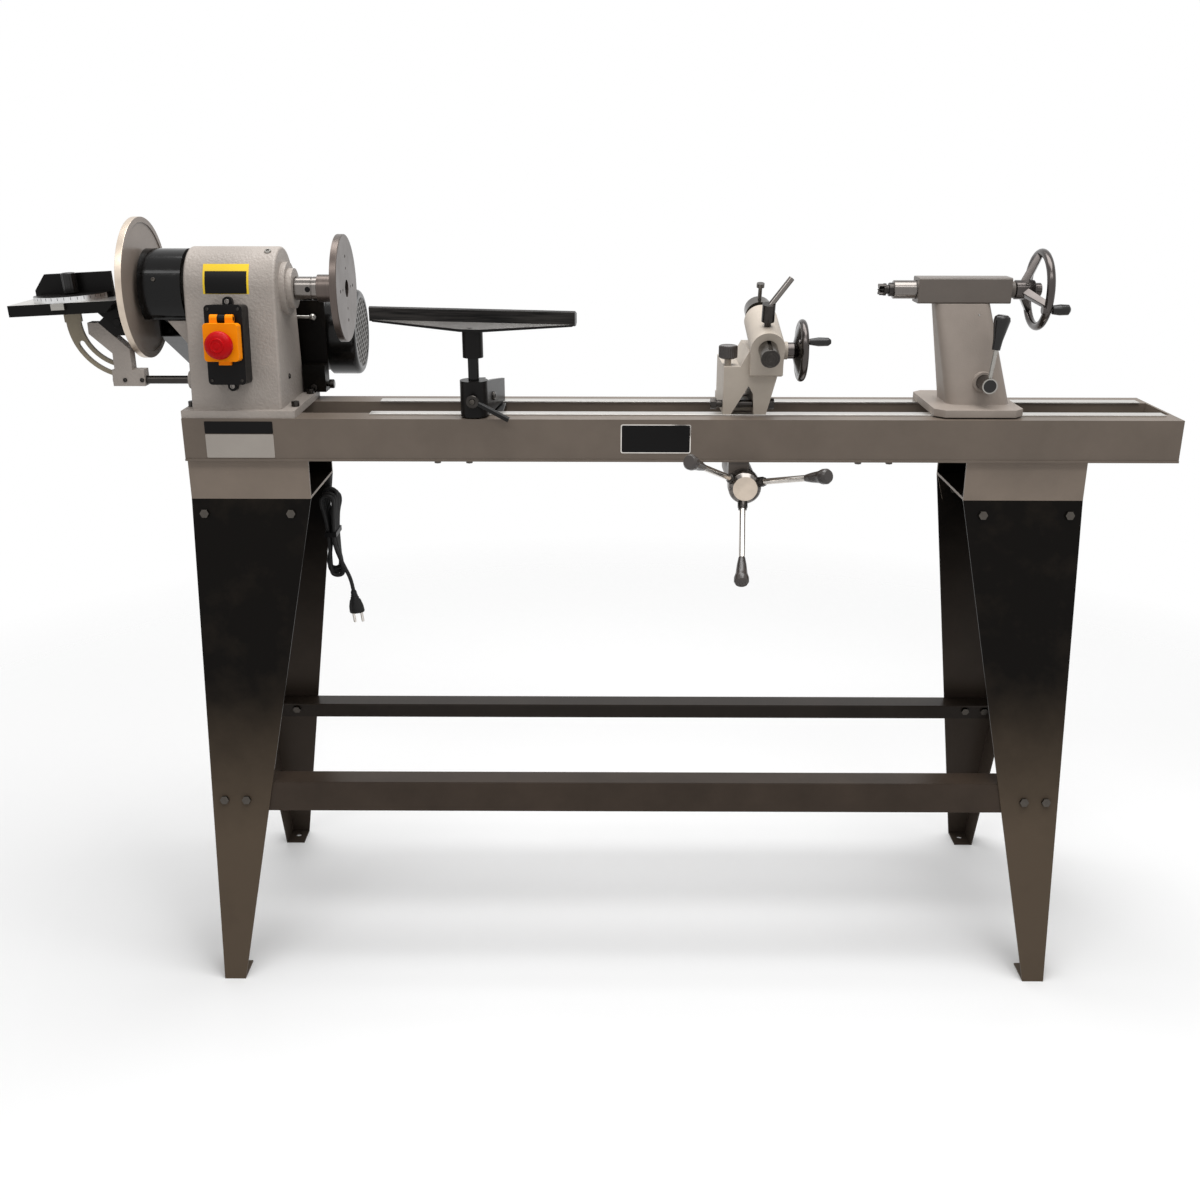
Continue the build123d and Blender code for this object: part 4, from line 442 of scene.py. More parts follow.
# Second finishes on single faces of a piece
AXIS_Z = 1047.0
SPINDLE_AXIS = Vector((0, 0, AXIS_Z))
DISC_FACE = -737.0
DISC_RIM = 95.0
RAM_LEVER_ROD = 197.0
MITRE_PIN = Vector((-820.0, -45.0, 1039.0))
MITRE_RIM = 50.0
TAIL_ROD_LOW = 930.0
TAIL_ROD_HIGH = 966.0
TAIL_CAP = -74.9
PINION = Vector((0, -31.0162, 961.7402))
DISH_X = 225.0
DISH_INSIDE = 12.0
DISH_OUTSIDE = 33.0
REST_LEDGE = 1009.5
BRACKET_INSIDE = 760.0
FEED_AXIS = Vector((157.0, -60.0, 775.0))
HUB_BACK = -96.0
HUB_R = 24.5


def in_feed_hub(place):
    return (place.xz - FEED_AXIS.xz).length < HUB_R


def in_wheel_dish(place):
    return place.x > DISH_X and DISH_INSIDE < (place.yz - PINION.yz).length < DISH_OUTSIDE


def on_disc_rim(place):
    return (place.yz - SPINDLE_AXIS.yz).length > DISC_RIM


def on_mitre_rim(place):
    return (place.xy - MITRE_PIN.xy).length > MITRE_RIM and place.y < MITRE_PIN.y


recoat(
    forms["sanding_disc"], abrasive_sheet,
    lambda place, way: way.x < -0.9 and place.x < DISC_FACE + 0.5,
)
recoat(
    forms["sanding_disc"], satin_steel, lambda place, way: abs(way.x) < 0.5 and on_disc_rim(place),
)
# The rear legs' faces take the black that turns lighter towards the bottom from higher up
for legs in ("legs_left", "legs_right"):
    recoat(forms[legs], rear_black, lambda place, way: place.y > 0)
# Painted shade: the rear bar is darker than the front bar
recoat(forms["cross_bars"], rear_bar_shade_black, lambda place, way: place.y > 0)
recoat(forms["sanding_table"], way_steel, lambda place, way: way.z > 0.9)
recoat(forms["ram_lever"], turned_steel, lambda place, way: place.x > RAM_LEVER_ROD)
recoat(
    forms["mitre_head"], aluminium, lambda place, way: abs(way.z) < 0.5 and on_mitre_rim(place),
)
recoat(
    forms["tail_lever"], rod_steel, lambda place, way: TAIL_ROD_LOW < place.z < TAIL_ROD_HIGH,
)
recoat(
    forms["tail_lever"], knob_plastic,
    lambda place, way: place.z > TAIL_ROD_HIGH or place.y < TAIL_CAP,
)
recoat(forms["copy_handwheel"], gloss_black, lambda place, way: in_wheel_dish(place))
# Painted highlight: the upward faces under the rest bar's ledge take a lighter, glossier black
recoat(
    forms["rest_bar"], rest_highlight_casting, lambda place, way: place.z < REST_LEDGE and way.z > 0.3,
)
recoat(forms["rest_bar"], cast_black, lambda place, way: place.z < REST_LEDGE and way.z < 0.3)
# Painted shade: the brackets' inward wall faces and the upward faces low inside them are painted black
recoat(
    forms["leg_brackets"], stand_black,
    lambda place, way: way.z > 0.9 and place.z < BRACKET_INSIDE or way.y * place.y < 0,
)
# Painted shade: the hub's sides take the darker turned steel; its front face takes satin steel
recoat(
    forms["feed_handle"], turned_steel,
    lambda place, way: place.y < HUB_BACK and in_feed_hub(place),
)
recoat(
    forms["feed_handle"], satin_steel, lambda place, way: way.y < -0.95 and in_feed_hub(place),
)

# Motor: the fan cover's end is a fine grille
MOTOR_AXIS = Vector((0, 165.0, 961.0))
FAN_END = -443.0
FAN_WALL = 3.5              # the end wall lies within this of the end
GRILLE_R = 58.0
GRILLE_SEAT = 0.9
GRILLE_CELLS = 11
GRILLE_BAR = 2.3
GRILLE_THICK = 1.0
GRILLE_BACK = 1.5           # the grille lies this far inside the end
FAN_RIM = [(54, -2), (54, -0.6), (54.6, 0), (59.2, 0), (59.2, -2), (54, -2)]
MOTOR_BAND = [(60, -4), (61.6, -3.6), (62, -3), (62, 3), (61.6, 3.6), (60, 4), (60, -4)]
MOTOR_SEAMS = (-634.0, -508.0)


def motor_form():
    shape = merged_solid("motor")
    end_wall = []
    for face in shape.faces:
        place = face.calc_center_median() / MM
        off_axis = (place.yz - MOTOR_AXIS.yz).length
        if place.x > FAN_END - FAN_WALL and off_axis < GRILLE_R + GRILLE_SEAT:
            end_wall.append(face)
    bmesh.ops.delete(shape, geom=end_wall, context="FACES")
    round_corners(shape, 0.6)
    bmesh.ops.bridge_loops(shape, edges=[line for line in shape.edges if line.is_boundary])
    piece = add_piece("motor_form", shape, motor_black, "motor")
    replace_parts(piece, "motor")


def fan_grille():
    """A round grid of bars, turned so that its openings stand on their corners."""
    shape = bmesh.new()
    bmesh.ops.create_grid(
        shape, x_segments=GRILLE_CELLS, y_segments=GRILLE_CELLS, size=GRILLE_R * MM,
    )
    outside = [face for face in shape.faces if face.calc_center_median().length > GRILLE_R * MM]
    bmesh.ops.delete(shape, geom=outside, context="FACES")
    openings = list(shape.faces)
    bmesh.ops.inset_individual(shape, faces=openings, thickness=GRILLE_BAR * MM)
    bmesh.ops.delete(shape, geom=openings, context="FACES")
    end_place = Matrix.Translation(Vector((FAN_END - GRILLE_BACK, *MOTOR_AXIS.yz)) * MM)
    turned_end = end_place @ Matrix.Rotation(pi / 2, 4, "Y") @ Matrix.Rotation(pi / 4, 4, "Z")
    bmesh.ops.transform(shape, matrix=turned_end, verts=shape.verts)
    piece = add_piece("fan_grille", shape, grille_metal, "motor")
    thicken = piece.modifiers.new("thickness", "SOLIDIFY")
    thicken.thickness = GRILLE_THICK * MM
    rounding = piece.modifiers.new("round_holes", "SUBSURF")
    rounding.levels = 1
    rounding.render_levels = 1


motor_form()
fan_grille()
fan_place = (FAN_END, *MOTOR_AXIS.yz)
turned("fan_cover_rim", FAN_RIM, fan_place, RIGHT, motor_black, "motor", steps=64)
for count, seam in enumerate(MOTOR_SEAMS):
    band_place = (seam, *MOTOR_AXIS.yz)
    turned(f"motor_band_{count}", MOTOR_BAND, band_place, RIGHT, motor_black, "motor", steps=64)

# Blank plates on the bed and the headstock
BED_FRONT = -90.0
ARCH_R = 60.0
BENT_THICK = 0.5


def bent_plate(name, left, right, low, high, lift, finish):
    """A thin plate bent round the headstock's arch, between two angles above the spindle axis."""
    shape = bmesh.new()
    bmesh.ops.create_grid(shape, x_segments=2, y_segments=14, size=0.5)
    for corner in shape.verts:
        angle = radians(low + (high - low) * (corner.co.y + 0.5))
        across = left + (right - left) * (corner.co.x + 0.5)
        radius = ARCH_R + lift
        corner.co = Vector((across, -radius * cos(angle), AXIS_Z + radius * sin(angle))) * MM
    bmesh.ops.solidify(shape, geom=shape.faces, thickness=BENT_THICK * MM)
    return add_piece(name, shape, finish, "headstock")


thin_plate(
    "data_plate", left=-635, right=-535, low=812, high=847, front=BED_FRONT, corner=1.5,
    finish=label_pale, owner="bed",
)
thin_plate(
    "data_plate_head", left=-635, right=-535, low=848, high=866, front=BED_FRONT, corner=1.5,
    finish=black_plastic, owner="bed",
)
thin_plate(
    "badge_rim", left=-25, right=78, low=820, high=863, front=BED_FRONT, corner=3,
    finish=bright_steel, owner="bed",
)
thin_plate(
    "badge_plate", left=-23.5, right=76.5, low=821.5, high=861.5, front=BED_FRONT - 0.4, corner=2,
    finish=black_plastic, owner="bed",
)
bent_plate(
    "headstock_plate", left=-626, right=-560, low=-4, high=40, lift=0.5, finish=label_yellow,
)
bent_plate(
    "headstock_plate_panel", left=-623, right=-563, low=-1, high=29, lift=0.8, finish=black_plastic,
)

# Screws and the button's ring on the switch
SWITCH_MIDDLE = Vector((-590.0, -67.1, 975.0))
SWITCH_UP = Vector((0, 0.0943, 0.9956))
SWITCH_OUT = Vector((0, -0.9956, 0.0943))
SWITCH_FRONT = 34.0
SCREW_ACROSS = 21.5
SCREW_RISE = 50.0
EAR_FRONT = 9.0
EAR_RISE = 60.0
BUTTON_FRONT = 73.6
BUTTON_RING = [(0, 1), (4, 1), (4.5, 0.4), (7.5, 0.4), (8, 1), (9.5, 1), (10.5, -1), (0, -1)]
for side in (-1, 1):
    for end in (-1, 1):
        corner = SWITCH_MIDDLE + RIGHT * (SCREW_ACROSS * side) + SWITCH_UP * (SCREW_RISE * end)
        corner += SWITCH_OUT * SWITCH_FRONT
        name = f"switch_screw_{side + 1}{end + 1}"
        socket_screw(name, corner, SWITCH_OUT, 2.6, dark_steel, "switch_box")
for count, rise in enumerate((-EAR_RISE, EAR_RISE)):
    ear = SWITCH_MIDDLE + SWITCH_UP * rise + SWITCH_OUT * EAR_FRONT
    socket_screw(f"switch_ear_screw_{count}", ear, SWITCH_OUT, 4.0, turned_steel, "switch_box")
button_middle = SWITCH_MIDDLE + SWITCH_UP + SWITCH_OUT * BUTTON_FRONT
turned("stop_button_ring", BUTTON_RING, button_middle, SWITCH_OUT, red_plastic, "stop_button")

# Other screws: name, place, direction, radius, finish and owner
GUARD_OUT = Vector((0, -54.2, 17.6))
OIL_PLUG_OUT = Vector((0, -0.42, 0.9075))
OIL_PLUG_X = -537.0
WHEEL_SCREW_OUT = Vector((0, -0.75, 0.66))
WHEEL_SCREW_X = 572.0
WHEEL_SCREW_R = 13.6
oil_plug = SPINDLE_AXIS + RIGHT * OIL_PLUG_X + OIL_PLUG_OUT * ARCH_R
wheel_screw = SPINDLE_AXIS + RIGHT * WHEEL_SCREW_X + WHEEL_SCREW_OUT * WHEEL_SCREW_R
SCREWS = (
    ("guard_screw", (-698, -54.2, 1064.6), GUARD_OUT, 3.2, bolt_metal, "guard"),
    ("arm_screw_0", (-754, -60, 921), FRONT, 3.2, dark_steel, "table_arm"),
    ("arm_screw_1", (-729, -60, 921), FRONT, 3.2, dark_steel, "table_arm"),
    ("column_screw", (497, -40.5, 1015), FRONT, 1.6, rod_steel, "tail_body"),
    ("oil_cap", (-523, -17, 920), RIGHT, 4.0, dark_steel, "headstock"),
    ("oil_plug", oil_plug, OIL_PLUG_OUT, 5.0, rod_steel, "headstock"),
    ("wheel_screw", wheel_screw, WHEEL_SCREW_OUT, 3.0, dark_steel, "tail_handwheel"),
)
for screw in SCREWS:
    socket_screw(*screw)

# Bolts of the headstock, of the motor plate and under the bed
HEAD_BASE = 881.0
HEAD_BOLTS_X = (-661.6, -508.4)
HEAD_BOLTS_Y = 51.0
BED_LOW = 807.0
BED_BOLTS_X = (-296, -249, 327, 373)
BED_BOLTS_Y = -81.5
PLATE_KNOB = [
    (0, -SUNK), (4, -SUNK), (4, 3), (6.6, 3.4), (7, 4), (7, 10), (6, 11), (0, 11),
]
for count, across in enumerate(HEAD_BOLTS_X):
    for side in (-1, 1):
        name = f"head_bolt_{count}{side + 1}"
        place = (across, HEAD_BOLTS_Y * side, HEAD_BASE)
        hex_head(name, place, UP, 6.3, 8, dark_steel, "frame_bolts")
hex_head("motor_plate_bolt", (-504, 62, 889), FRONT, 6, 5, dark_steel, "motor_plate")
turned("motor_plate_knob", PLATE_KNOB, (-486, 76, 892), RIGHT, dark_steel, "motor_plate")
for count, across in enumerate(BED_BOLTS_X):
    place = (across, BED_BOLTS_Y, BED_LOW)
    hex_head(f"bed_bolt_{count}", place, DOWN, 5.5, 4.5, bolt_metal, "bed")

# Spindle with a grooved nose; a thin black disc at its cross hole is painted shade for the hole
SPINDLE = [
    (0, -737), (10, -737), (10, -715), (12.5, -715), (12.5, -589), (15, -589), (15, -506.6),
    (16.2, -506.6), (17, -505.8), (17, -482), (16.3, -481.5), (16.3, -480.5), (17, -480),
    (17, -473.8), (16.2, -473), (12.5, -473), (12.5, -443), (0, -443),
]
HOLE_SHADE_DISC = [(0, 0), (3.9, 0), (4.1, -0.6), (0, -0.6)]
HOLE_SHADE_PLACE = (-485.9, -17.05, AXIS_Z)
spindle = turned(
    "spindle_form", SPINDLE, SPINDLE_AXIS, RIGHT, turned_steel, "spindle", steps=64,
)
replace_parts(spindle, "spindle")
# painted shade: a black disc stands for the dark inside of the cross hole
turned(
    "spindle_hole_painted_shade", HOLE_SHADE_DISC, HOLE_SHADE_PLACE, FRONT, black_plastic, "spindle", steps=24,
)

# Eye of the tool-rest lever, set screw of the banjo, ring on the tailstock lever
REST_EYE_PLACE = (-240, -103.5, 898.1)
REST_EYE = [
    (4.5, 0), (4.5, 1), (5.5, 1.6), (8.6, 1.6), (9.4, 0.8), (9.4, -9), (0, -9), (0, 0), (4.5, 0),
]
BANJO_OUT = (0.9925, -0.1219, 0)
LEVER_RING = [(9.4, -2), (9.4, 0.3), (10.2, 0.5), (11.2, 0.2), (11.2, -2), (9.4, -2)]
turned("rest_lever_eye", REST_EYE, REST_EYE_PLACE, FRONT, dark_steel, "rest_lever")
socket_screw("rest_lever_screw", REST_EYE_PLACE, FRONT, 4.2, bolt_metal, "rest_lever")
socket_screw("banjo_screw", (-215.3, -32.7, 894), BANJO_OUT, 6.5, dark_steel, "banjo")
turned("tail_lever_ring", LEVER_RING, (513, -75, 917), FRONT, rod_steel, "tail_lever")

# Tailstock quill and four-pronged centre
QUILL_LEFT = 377.0
QUILL_R = 13.35
QUILL = [(0, 4), (8.1, 4), (8.1, 0), (12.6, 0), (QUILL_R, 0.8), (QUILL_R, 139), (0, 139)]
SPUR = [
    (0, -2), (10, -2), (10, 5.5), (9.2, 6.5), (6.6, 7), (6.6, 9.5), (9, 10.5), (9, 14),
    (4.6, 14.5), (0.6, 22.5), (0, 22.6),
]
PRONG_LONG = 10.0
PRONG_TALL = 6.4
PRONG_THICK = 3.2
PRONG_AHEAD = 16.0
quill_place = (QUILL_LEFT, 0, AXIS_Z)
quill = turned("quill_form", QUILL, quill_place, RIGHT, turned_steel, "tail_quill", steps=48)
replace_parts(quill, "tail_quill")
spur = turned("spur_form", SPUR, quill_place, LEFT, dark_steel, "spur_centre")
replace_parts(spur, "spur_centre")
prongs = bmesh.new()
prong_size = Matrix.Diagonal((PRONG_LONG * MM, PRONG_TALL * MM, PRONG_THICK * MM, 1))
prong_out = Matrix.Translation(Vector((QUILL_LEFT - PRONG_AHEAD, PRONG_TALL, 0)) * MM)
for count in range(4):
    around = Matrix.Rotation(radians(45 + 90 * count), 4, "X")
    prong_place = Matrix.Translation(SPINDLE_AXIS * MM) @ around @ prong_out @ prong_size
    bmesh.ops.create_cube(prongs, size=1.0, matrix=prong_place)
round_corners(prongs, 0.5)
add_piece("spur_prongs", prongs, dark_steel, "spur_centre")

# Tailstock handwheel
WHEEL_X = 593.0
WHEEL_R = 53.0
RIM_R = 6.0
RIM_SIDES = 16
HUB_LEFT = 556.2
WHEEL_HUB = [
    (0, 0), (13, 0), (14, 1), (14, 28), (13, 29), (10, 29), (10, 38), (9, 39), (0, 39),
]
SPOKE_ANGLES = (80, 200, 320)
SPOKE_INSIDE = 8.0
SPOKE_AHEAD = 14.0
SPOKE_WIDE = 8.5
SPOKE_NARROW = 6.5
GRIP_AXIS = Vector((0, -47.5, 1023.5))
GRIP_AXLE = [(0, 585), (6, 585), (6, 592), (3.4, 600), (3.4, 625), (0, 625)]
rim_circle = [radians(360 / RIM_SIDES * count) for count in range(RIM_SIDES + 1)]
rim_profile = [(WHEEL_R + RIM_R * cos(angle), RIM_R * sin(angle)) for angle in rim_circle]
wheel_place = (WHEEL_X, 0, AXIS_Z)
hub_place = (HUB_LEFT, 0, AXIS_Z)
wheel_rim = turned(
    "tail_wheel_rim", rim_profile, wheel_place, RIGHT, wheel_metal, "tail_handwheel", steps=72,
)
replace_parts(wheel_rim, "tail_handwheel")
turned("tail_wheel_hub", WHEEL_HUB, hub_place, RIGHT, wheel_metal, "tail_handwheel", steps=48)
for count, angle in enumerate(SPOKE_ANGLES):
    outward = Vector((0, cos(radians(angle)), sin(radians(angle))))
    start = SPINDLE_AXIS + outward * SPOKE_INSIDE + RIGHT * (HUB_LEFT + SPOKE_AHEAD)
    end = SPINDLE_AXIS + outward * WHEEL_R + RIGHT * WHEEL_X
    spoke = tapered_bar(4, start, end, SPOKE_WIDE, SPOKE_NARROW, edge=1.4)
    add_piece(f"tail_wheel_spoke_{count}", spoke, wheel_metal, "tail_handwheel")
turned("tail_grip_axle", GRIP_AXLE, GRIP_AXIS, RIGHT, wheel_metal, "tail_handwheel")

# Fluted knobs
FLUTE_STEPS = 4             # steps of the turn for each flute
FLUTE_DEPTH = 0.03          # share of the radius
KNOB_SHARP = 60


def fluted_knob(name, node, place, along, radius, height, flutes, finish):
    """A knob with upright flutes round its rim and a shallow dish in its top."""
    profile = [
        (0, 0), (radius * 0.7, 0), (radius, 2), (radius, height - 2), (radius * 0.9, height - 0.3),
        (radius * 0.8, height), (radius * 0.7, height - 0.6), (0, height - 0.6),
    ]
    shape = spun(profile, flutes * FLUTE_STEPS)
    for corner in shape.verts:
        if corner.co.xy.length > radius * 0.95 * MM:
            wave = cos(flutes * atan2(corner.co.y, corner.co.x))
            corner.co.xy *= 1 - FLUTE_DEPTH + FLUTE_DEPTH * wave
    put(shape, place, along)
    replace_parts(add_piece(name, shape, finish, node, KNOB_SHARP), node)


fluted_knob(
    "copy_knob_form", "copy_knob", (133, -40, 951.3), UP, radius=14, height=19.7, flutes=26,
    finish=brown_plastic,
)

# Ringed end of the ram
RAM_ALONG = Vector((0, 0.9659, 0.2588))
RAM_MIDDLE = Vector((187.0, -70.0, 972.0))
RAM_AHEAD = 41.0
RAM_END = [
    (0, 0.2), (4, 0.2), (4.3, 0.6), (8, 0.6), (8.3, 0.2), (11, 0.2), (11.3, 0.6), (13.3, 0.6),
    (13.6, -0.4), (0, -0.4),
]
ram_front = RAM_MIDDLE - RAM_ALONG * RAM_AHEAD
turned("ram_end", RAM_END, ram_front, -RAM_ALONG, dark_steel, "copy_ram")

# Cross bolt through the feet of the copy carriage
FOOT_BOLT_AXIS = Vector((0, -49.0, 886.0))
FOOT_BOLT = [(0, 111), (5.5, 111), (5.5, 198), (0, 198)]
BOLT_HEAD_X = 117.0
BOLT_NUT_X = 194.0
bolt_head = FOOT_BOLT_AXIS + RIGHT * BOLT_HEAD_X
bolt_nut = FOOT_BOLT_AXIS + RIGHT * BOLT_NUT_X
turned("carriage_bolt", FOOT_BOLT, FOOT_BOLT_AXIS, RIGHT, dark_steel, "copy_casting")
hex_head("carriage_bolt_head", bolt_head, LEFT, 8.5, 9, dark_steel, "copy_casting")
hex_head("carriage_bolt_nut", bolt_nut, RIGHT, 8.5, 9, dark_steel, "copy_casting")

# Dark collars at the roots of the feed handle's spokes
FEED_APEX = Vector((157.0, -91.0, 775.0))
FEED_CONE = radians(50.6)
FEED_ROOT = 34.0
FEED_SPOKES = 3
FEED_FIRST = -96
COLLAR = [(0, 0), (7.4, 0), (7.4, 9), (6.2, 11), (6.2, 13), (4.4, 13.5), (0, 13.5)]
for count in range(FEED_SPOKES):
    angle = radians(FEED_FIRST + 360 / FEED_SPOKES * count)
    outward = Vector((cos(angle), 0, sin(angle))) * cos(FEED_CONE) + FRONT * sin(FEED_CONE)
    root = FEED_APEX + outward * FEED_ROOT
    turned(f"spoke_collar_{count}", COLLAR, root, outward, dark_steel, "feed_handle")

# Mitre gauge: degree marks on its rim and the knob on its pin, tilted with the table
TILT_PIVOT = Vector((-752.0, 0, 1006.0)) * MM
TABLE_TILT = radians(-3)
MARKS = 19
MARK_STEP = 10
MARK_PLACE = Vector((51.9, 0, 5.5))
MARK_SIZE = Vector((0.4, 0.7, 4.0))
KNOB_LIFT = 8.2
KNOB_UP = (-0.0523, 0, 0.9986)
about_pivot = Matrix.Translation(TILT_PIVOT) @ Matrix.Rotation(TABLE_TILT, 4, "Y")
table_turn = about_pivot @ Matrix.Translation(-TILT_PIVOT)
mark_stand = Matrix.Translation(MARK_PLACE * MM) @ Matrix.Diagonal((*(MARK_SIZE * MM), 1))
marks = bmesh.new()
for count in range(MARKS):
    swing = Matrix.Rotation(radians(180 + MARK_STEP * count), 4, "Z")
    mark_turn = table_turn @ Matrix.Translation(MITRE_PIN * MM) @ swing
    bmesh.ops.create_cube(marks, size=1.0, matrix=mark_turn @ mark_stand)
add_piece("mitre_marks", marks, black_plastic, "mitre_head")
knob_base = table_turn @ ((MITRE_PIN + UP * KNOB_LIFT) * MM)
fluted_knob(
    "mitre_knob_form", "mitre_knob", knob_base / MM, KNOB_UP, radius=10.5, height=29.6, flutes=16,
    finish=knob_plastic,
)

# Strain relief where the cord leaves the bracket
RELIEF_PLACE = (-495, 68, 747)
RELIEF_RINGS = 5
RING_FIRST = 5.0
RING_STEP = 4.2
RING_WIDE = 2.4
RING_OUTER = 6.2
RING_TAPER = 0.5
RING_DEPTH = 0.8
GROOVE_START = 2.8
GROOVE_END = 3.8
relief = [(0, 0), (7.5, 0), (7.5, 4)]
for ring in range(RELIEF_RINGS):
    base = RING_FIRST + RING_STEP * ring
    outer = RING_OUTER - RING_TAPER * ring
    inner = outer - RING_DEPTH
    relief += [(outer, base), (outer, base + RING_WIDE)]
    relief += [(inner, base + GROOVE_START), (inner, base + GROOVE_END)]
relief += [(3.4, 27), (0, 27)]
gland = turned("cord_relief", relief, RELIEF_PLACE, DOWN, cord_rubber, "cord_gland")
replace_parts(gland, "cord_gland")

# Mains cord: straight out of the gland, a tied hank, a free end with the plug
CORD_R = 3.2 * MM
GLAND_LOW = Vector((-495.0, 68.0, 735.0))
GLAND_DROP = 14.0
HANK_PLACE = Vector((-488.5, 68.0, 657.0))
HANK_LOOPS = 5
HANK_STEP = 6.9
HANK_WAIST = 4.0
SHOULDER_WIDE = 7.0
SHOULDER_UP = 34.0
HANK_BEND = ((10.0, 54.0), (9.2, 64.0), (3.6, 67.5), (-3.6, 67.5), (-9.2, 64.0), (-10.0, 54.0))
FAN_OUT = 2.4               # the loops part by this much at their low ends, where nothing ties them
HIGH_FAN = 0.6              # and by this share of it, the other way, at their high ends
UNEVEN = 5.0                # and differ by this much in length
LOW_BEAT = 2.1
HIGH_BEAT = 1.7
LEAD_IN = ((8.0, 44.0), (6.5, 28.0))
FREE_END = ((5.3, 0, 14), (3.1, 0, -10), (9, 1, -33), (19, 2, -56), (28, 1, -77), (30, 0, -97))


def hank_point(across, back, up):
    return HANK_PLACE + Vector((across, -back, up))


def hank_loop(loop):
    """Once round: down from the tie, round the low end, up past the tie and round the high end."""
    near = loop * HANK_STEP
    far = near + HANK_STEP
    half_step = HANK_STEP / 2
    middle_loop = (HANK_LOOPS - 1) / 2
    low_side = FAN_OUT * (loop - middle_loop)
    low_end = UNEVEN * sin(LOW_BEAT * loop)
    high_side = -HIGH_FAN * FAN_OUT * (loop - middle_loop)
    high_end = UNEVEN * cos(HIGH_BEAT * loop)
    points = [
        hank_point(HANK_WAIST, near, 0),
        hank_point(SHOULDER_WIDE + low_side / 2, near, -SHOULDER_UP),
    ]
    points += [hank_point(across + low_side, near, -up - low_end) for across, up in HANK_BEND]
    points += [
        hank_point(-SHOULDER_WIDE + low_side / 2, near + half_step * 0.5, -SHOULDER_UP),
        hank_point(-HANK_WAIST, near + half_step, 0),
        hank_point(-SHOULDER_WIDE + high_side / 2, near + half_step * 1.5, SHOULDER_UP),
    ]
    for across, up in reversed(HANK_BEND):
        points.append(hank_point(across + high_side, far, up - high_end))
    points.append(hank_point(SHOULDER_WIDE + high_side / 2, far, SHOULDER_UP))
    return points


cord_route = [GLAND_LOW, GLAND_LOW + DOWN * GLAND_DROP]
cord_route += [hank_point(across, 0, up) for across, up in LEAD_IN]
for loop in range(HANK_LOOPS):
    cord_route += hank_loop(loop)
hank_thick = HANK_LOOPS * HANK_STEP
cord_route += [hank_point(across, hank_thick + back, up) for across, back, up in FREE_END]
cord_curve = bpy.data.curves.new("mains_cord", "CURVE")
cord_curve.dimensions = "3D"
cord_curve.bevel_depth = CORD_R
cord_curve.bevel_resolution = 4
cord_curve.resolution_u = 6
cord_curve.use_fill_caps = True
strand = cord_curve.splines.new("NURBS")
strand.points.add(len(cord_route) - 1)
for point, place in zip(strand.points, cord_route):
    point.co = (*(place * MM), 1)
strand.order_u = 3
strand.use_endpoint_u = True
mains_cord = bpy.data.objects.new("mains_cord", cord_curve)
bpy.context.collection.objects.link(mains_cord)
cord_curve.materials.append(cord_rubber)
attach(mains_cord, "frame")
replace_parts(mains_cord, "cord", "cord_hank")

# Plug: ribbed neck, body that widens to a flat end, two pins. Rings: distance, half width, half depth
PLUG_RINGS = [
    (-1, 4.2, 4.2), (3, 5.2, 5), (4, 4.5, 4.3), (7, 5.9, 5.4), (8, 5.2, 4.7), (11, 7.2, 6.2),
    (12, 6.5, 5.5), (16, 9.2, 7.2), (26, 11.8, 8), (35, 12.4, 8.2), (37, 11.8, 7.6),
]
RING_SIDES = 28
PIN_ACROSS = 6.6
PIN_BASE = 36.0
PLUG_PIN = [(0, 0), (2.4, 0), (2.4, 17), (1.6, 18.6), (0, 19)]
plug_top = cord_route[-1]
plug_along = (cord_route[-1] - cord_route[-2]).normalized()
plug_wide = Vector((0, 1, 0)).cross(plug_along).normalized()
plug_axes = Matrix((plug_wide, plug_along.cross(plug_wide), plug_along)).transposed().to_4x4()
plug_place = Matrix.Translation(plug_top * MM) @ plug_axes


def plug_form():
    shape = bmesh.new()
    near_ring = []
    for distance, half_width, half_depth in PLUG_RINGS:
        move = plug_place @ Matrix.Translation((0, 0, distance * MM))
        size = Matrix.Diagonal((half_width * MM, half_depth * MM, 1, 1))
        made = bmesh.ops.create_circle(shape, segments=RING_SIDES, radius=1.0, matrix=move @ size)
        far_ring = list({line for corner in made["verts"] for line in corner.link_edges})
        if near_ring:
            bmesh.ops.bridge_loops(shape, edges=near_ring + far_ring)
        near_ring = far_ring
    bmesh.ops.holes_fill(shape, edges=shape.edges, sides=0)
    return add_piece("plug_form", shape, cord_rubber, "plug")


plug = plug_form()
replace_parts(plug, "plug")
for side in (-1, 1):
    pin_base = plug_place @ (Vector((side * PIN_ACROSS, 0, PIN_BASE)) * MM)
    pin = turned(
        f"plug_pin_{side + 1}", PLUG_PIN, pin_base / MM, plug_along, bright_steel, "plug", steps=20,
    )

# Studio: pale floor that fades out into a white surround, and soft lamps. Metres and watts
FLOOR_REACH = 8.0
FLOOR_WHITE = (0.93, 0.93, 0.93, 1)
FADE_REACH = 2.2            # the floor is gone at this distance from its middle
FADE_SHARE = 0.55           # and fades over this outer share of that distance
SURROUND = 0.5              # strength of the surround as a light; seen directly it is 1


def larger(tree, first, second):
    made = tree.nodes.new("ShaderNodeMath")
    made.operation = "MAXIMUM"
    tree.links.new(first, made.inputs[0])
    tree.links.new(second, made.inputs[1])
    return made.outputs["Value"]


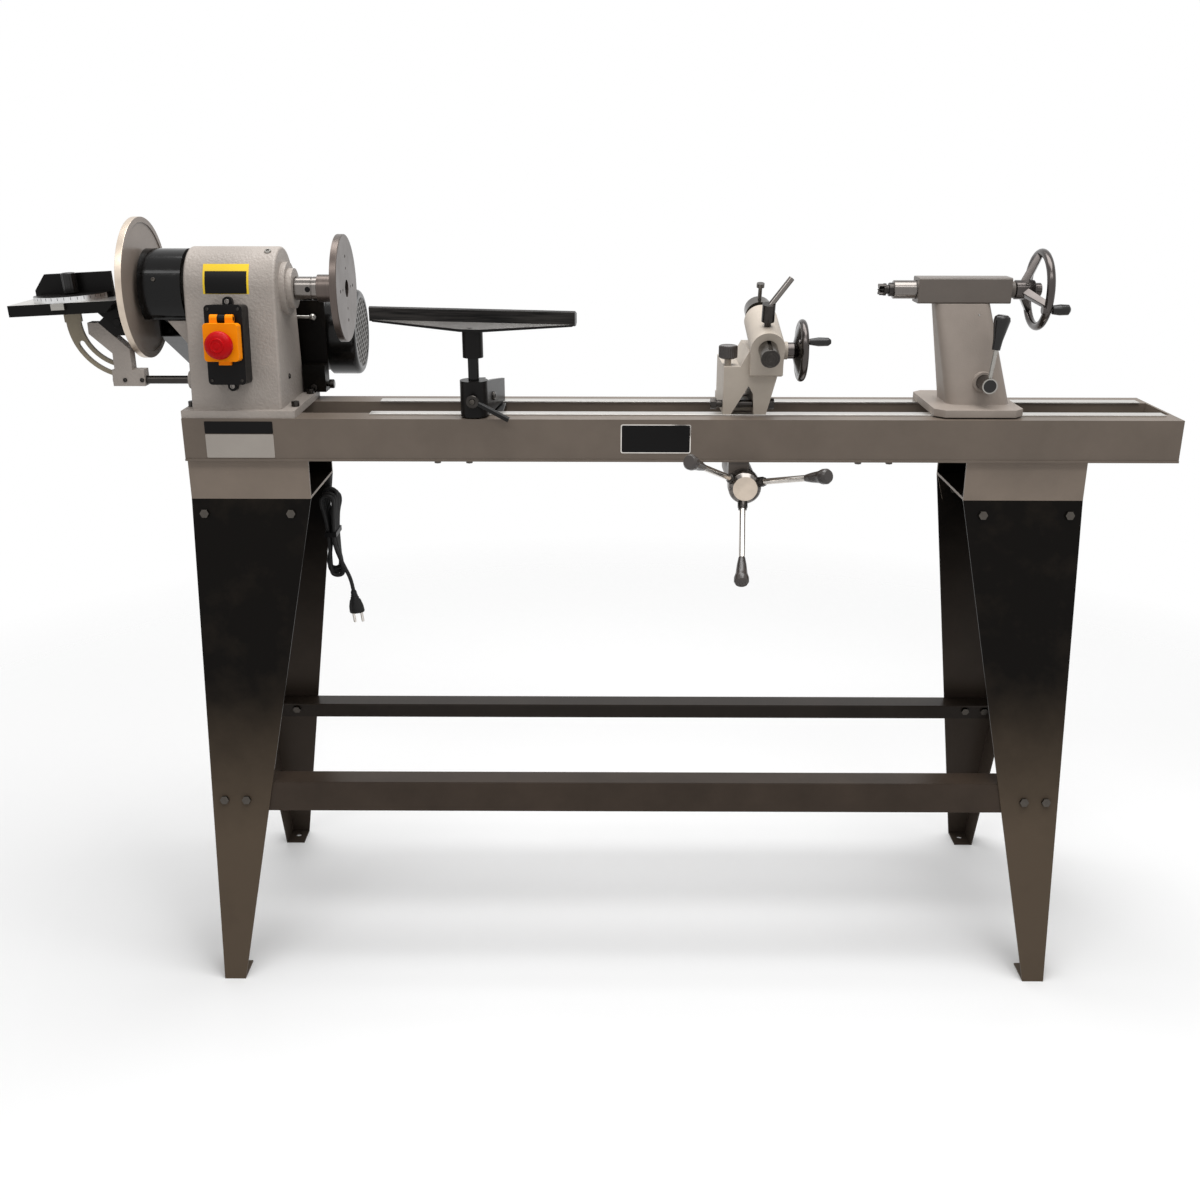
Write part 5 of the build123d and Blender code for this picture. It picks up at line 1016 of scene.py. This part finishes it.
def seen_directly(tree):
    """1 for rays from the camera and for what metal and glass show, otherwise 0."""
    rays = tree.nodes.new("ShaderNodeLightPath").outputs
    plain = larger(tree, rays["Is Camera Ray"], rays["Is Glossy Ray"])
    return larger(tree, plain, rays["Is Transmission Ray"])


floor_shape = bmesh.new()
bmesh.ops.create_grid(floor_shape, x_segments=1, y_segments=1, size=FLOOR_REACH)
floor_mesh = bpy.data.meshes.new("floor")
floor_shape.to_mesh(floor_mesh)
floor_shape.free()
floor_finish, floor_tree, floor_shader = new_finish("floor_white")
floor_shader.inputs["Base Color"].default_value = FLOOR_WHITE
floor_shader.inputs["Roughness"].default_value = 0.7
floor_shader.inputs["Specular IOR Level"].default_value = 0.1
fade = floor_tree.nodes.new("ShaderNodeTexGradient")
fade.gradient_type = "SPHERICAL"
fade_place = pattern_place(floor_tree, (1 / FADE_REACH, 1 / FADE_REACH, 1))
floor_tree.links.new(fade_place, fade.inputs["Vector"])
cover = blended(floor_tree, fade.outputs["Fac"], (0, 0, 0), (1, 1, 1), start=0.0, end=FADE_SHARE)
floor_tree.links.new(cover, floor_shader.inputs["Alpha"])
floor_mesh.materials.append(floor_finish)
floor = bpy.data.objects.new("floor", floor_mesh)
bpy.context.collection.objects.link(floor)

world = bpy.data.worlds.new("studio")
bpy.context.scene.world = world
world.use_nodes = True
world_tree = world.node_tree
background = world_tree.nodes["Background"]
strength = ranged(world_tree, seen_directly(world_tree), low=SURROUND, high=1.0)
world_tree.links.new(strength, background.inputs["Strength"])
background.inputs["Color"].default_value = (1, 1, 1, 1)


def soft_lamp(name, place, aim, size, power):
    data = bpy.data.lights.new(name, "AREA")
    data.shape = "RECTANGLE"
    data.size = size[0]
    data.size_y = size[1]
    data.energy = power
    lamp = bpy.data.objects.new(name, data)
    away = Vector(place) - Vector(aim)
    turn = away.to_track_quat("Z", "Y").to_matrix().to_4x4()
    lamp.matrix_world = Matrix.Translation(place) @ turn
    bpy.context.collection.objects.link(lamp)


soft_lamp("overhead", place=(0.1, 0.1, 2.9), aim=(0, 0, 0.9), size=(2.6, 1.4), power=62)
soft_lamp("front_key", place=(-0.2, -1.6, 2.8), aim=(0, 0, 0.45), size=(3.2, 0.5), power=22)
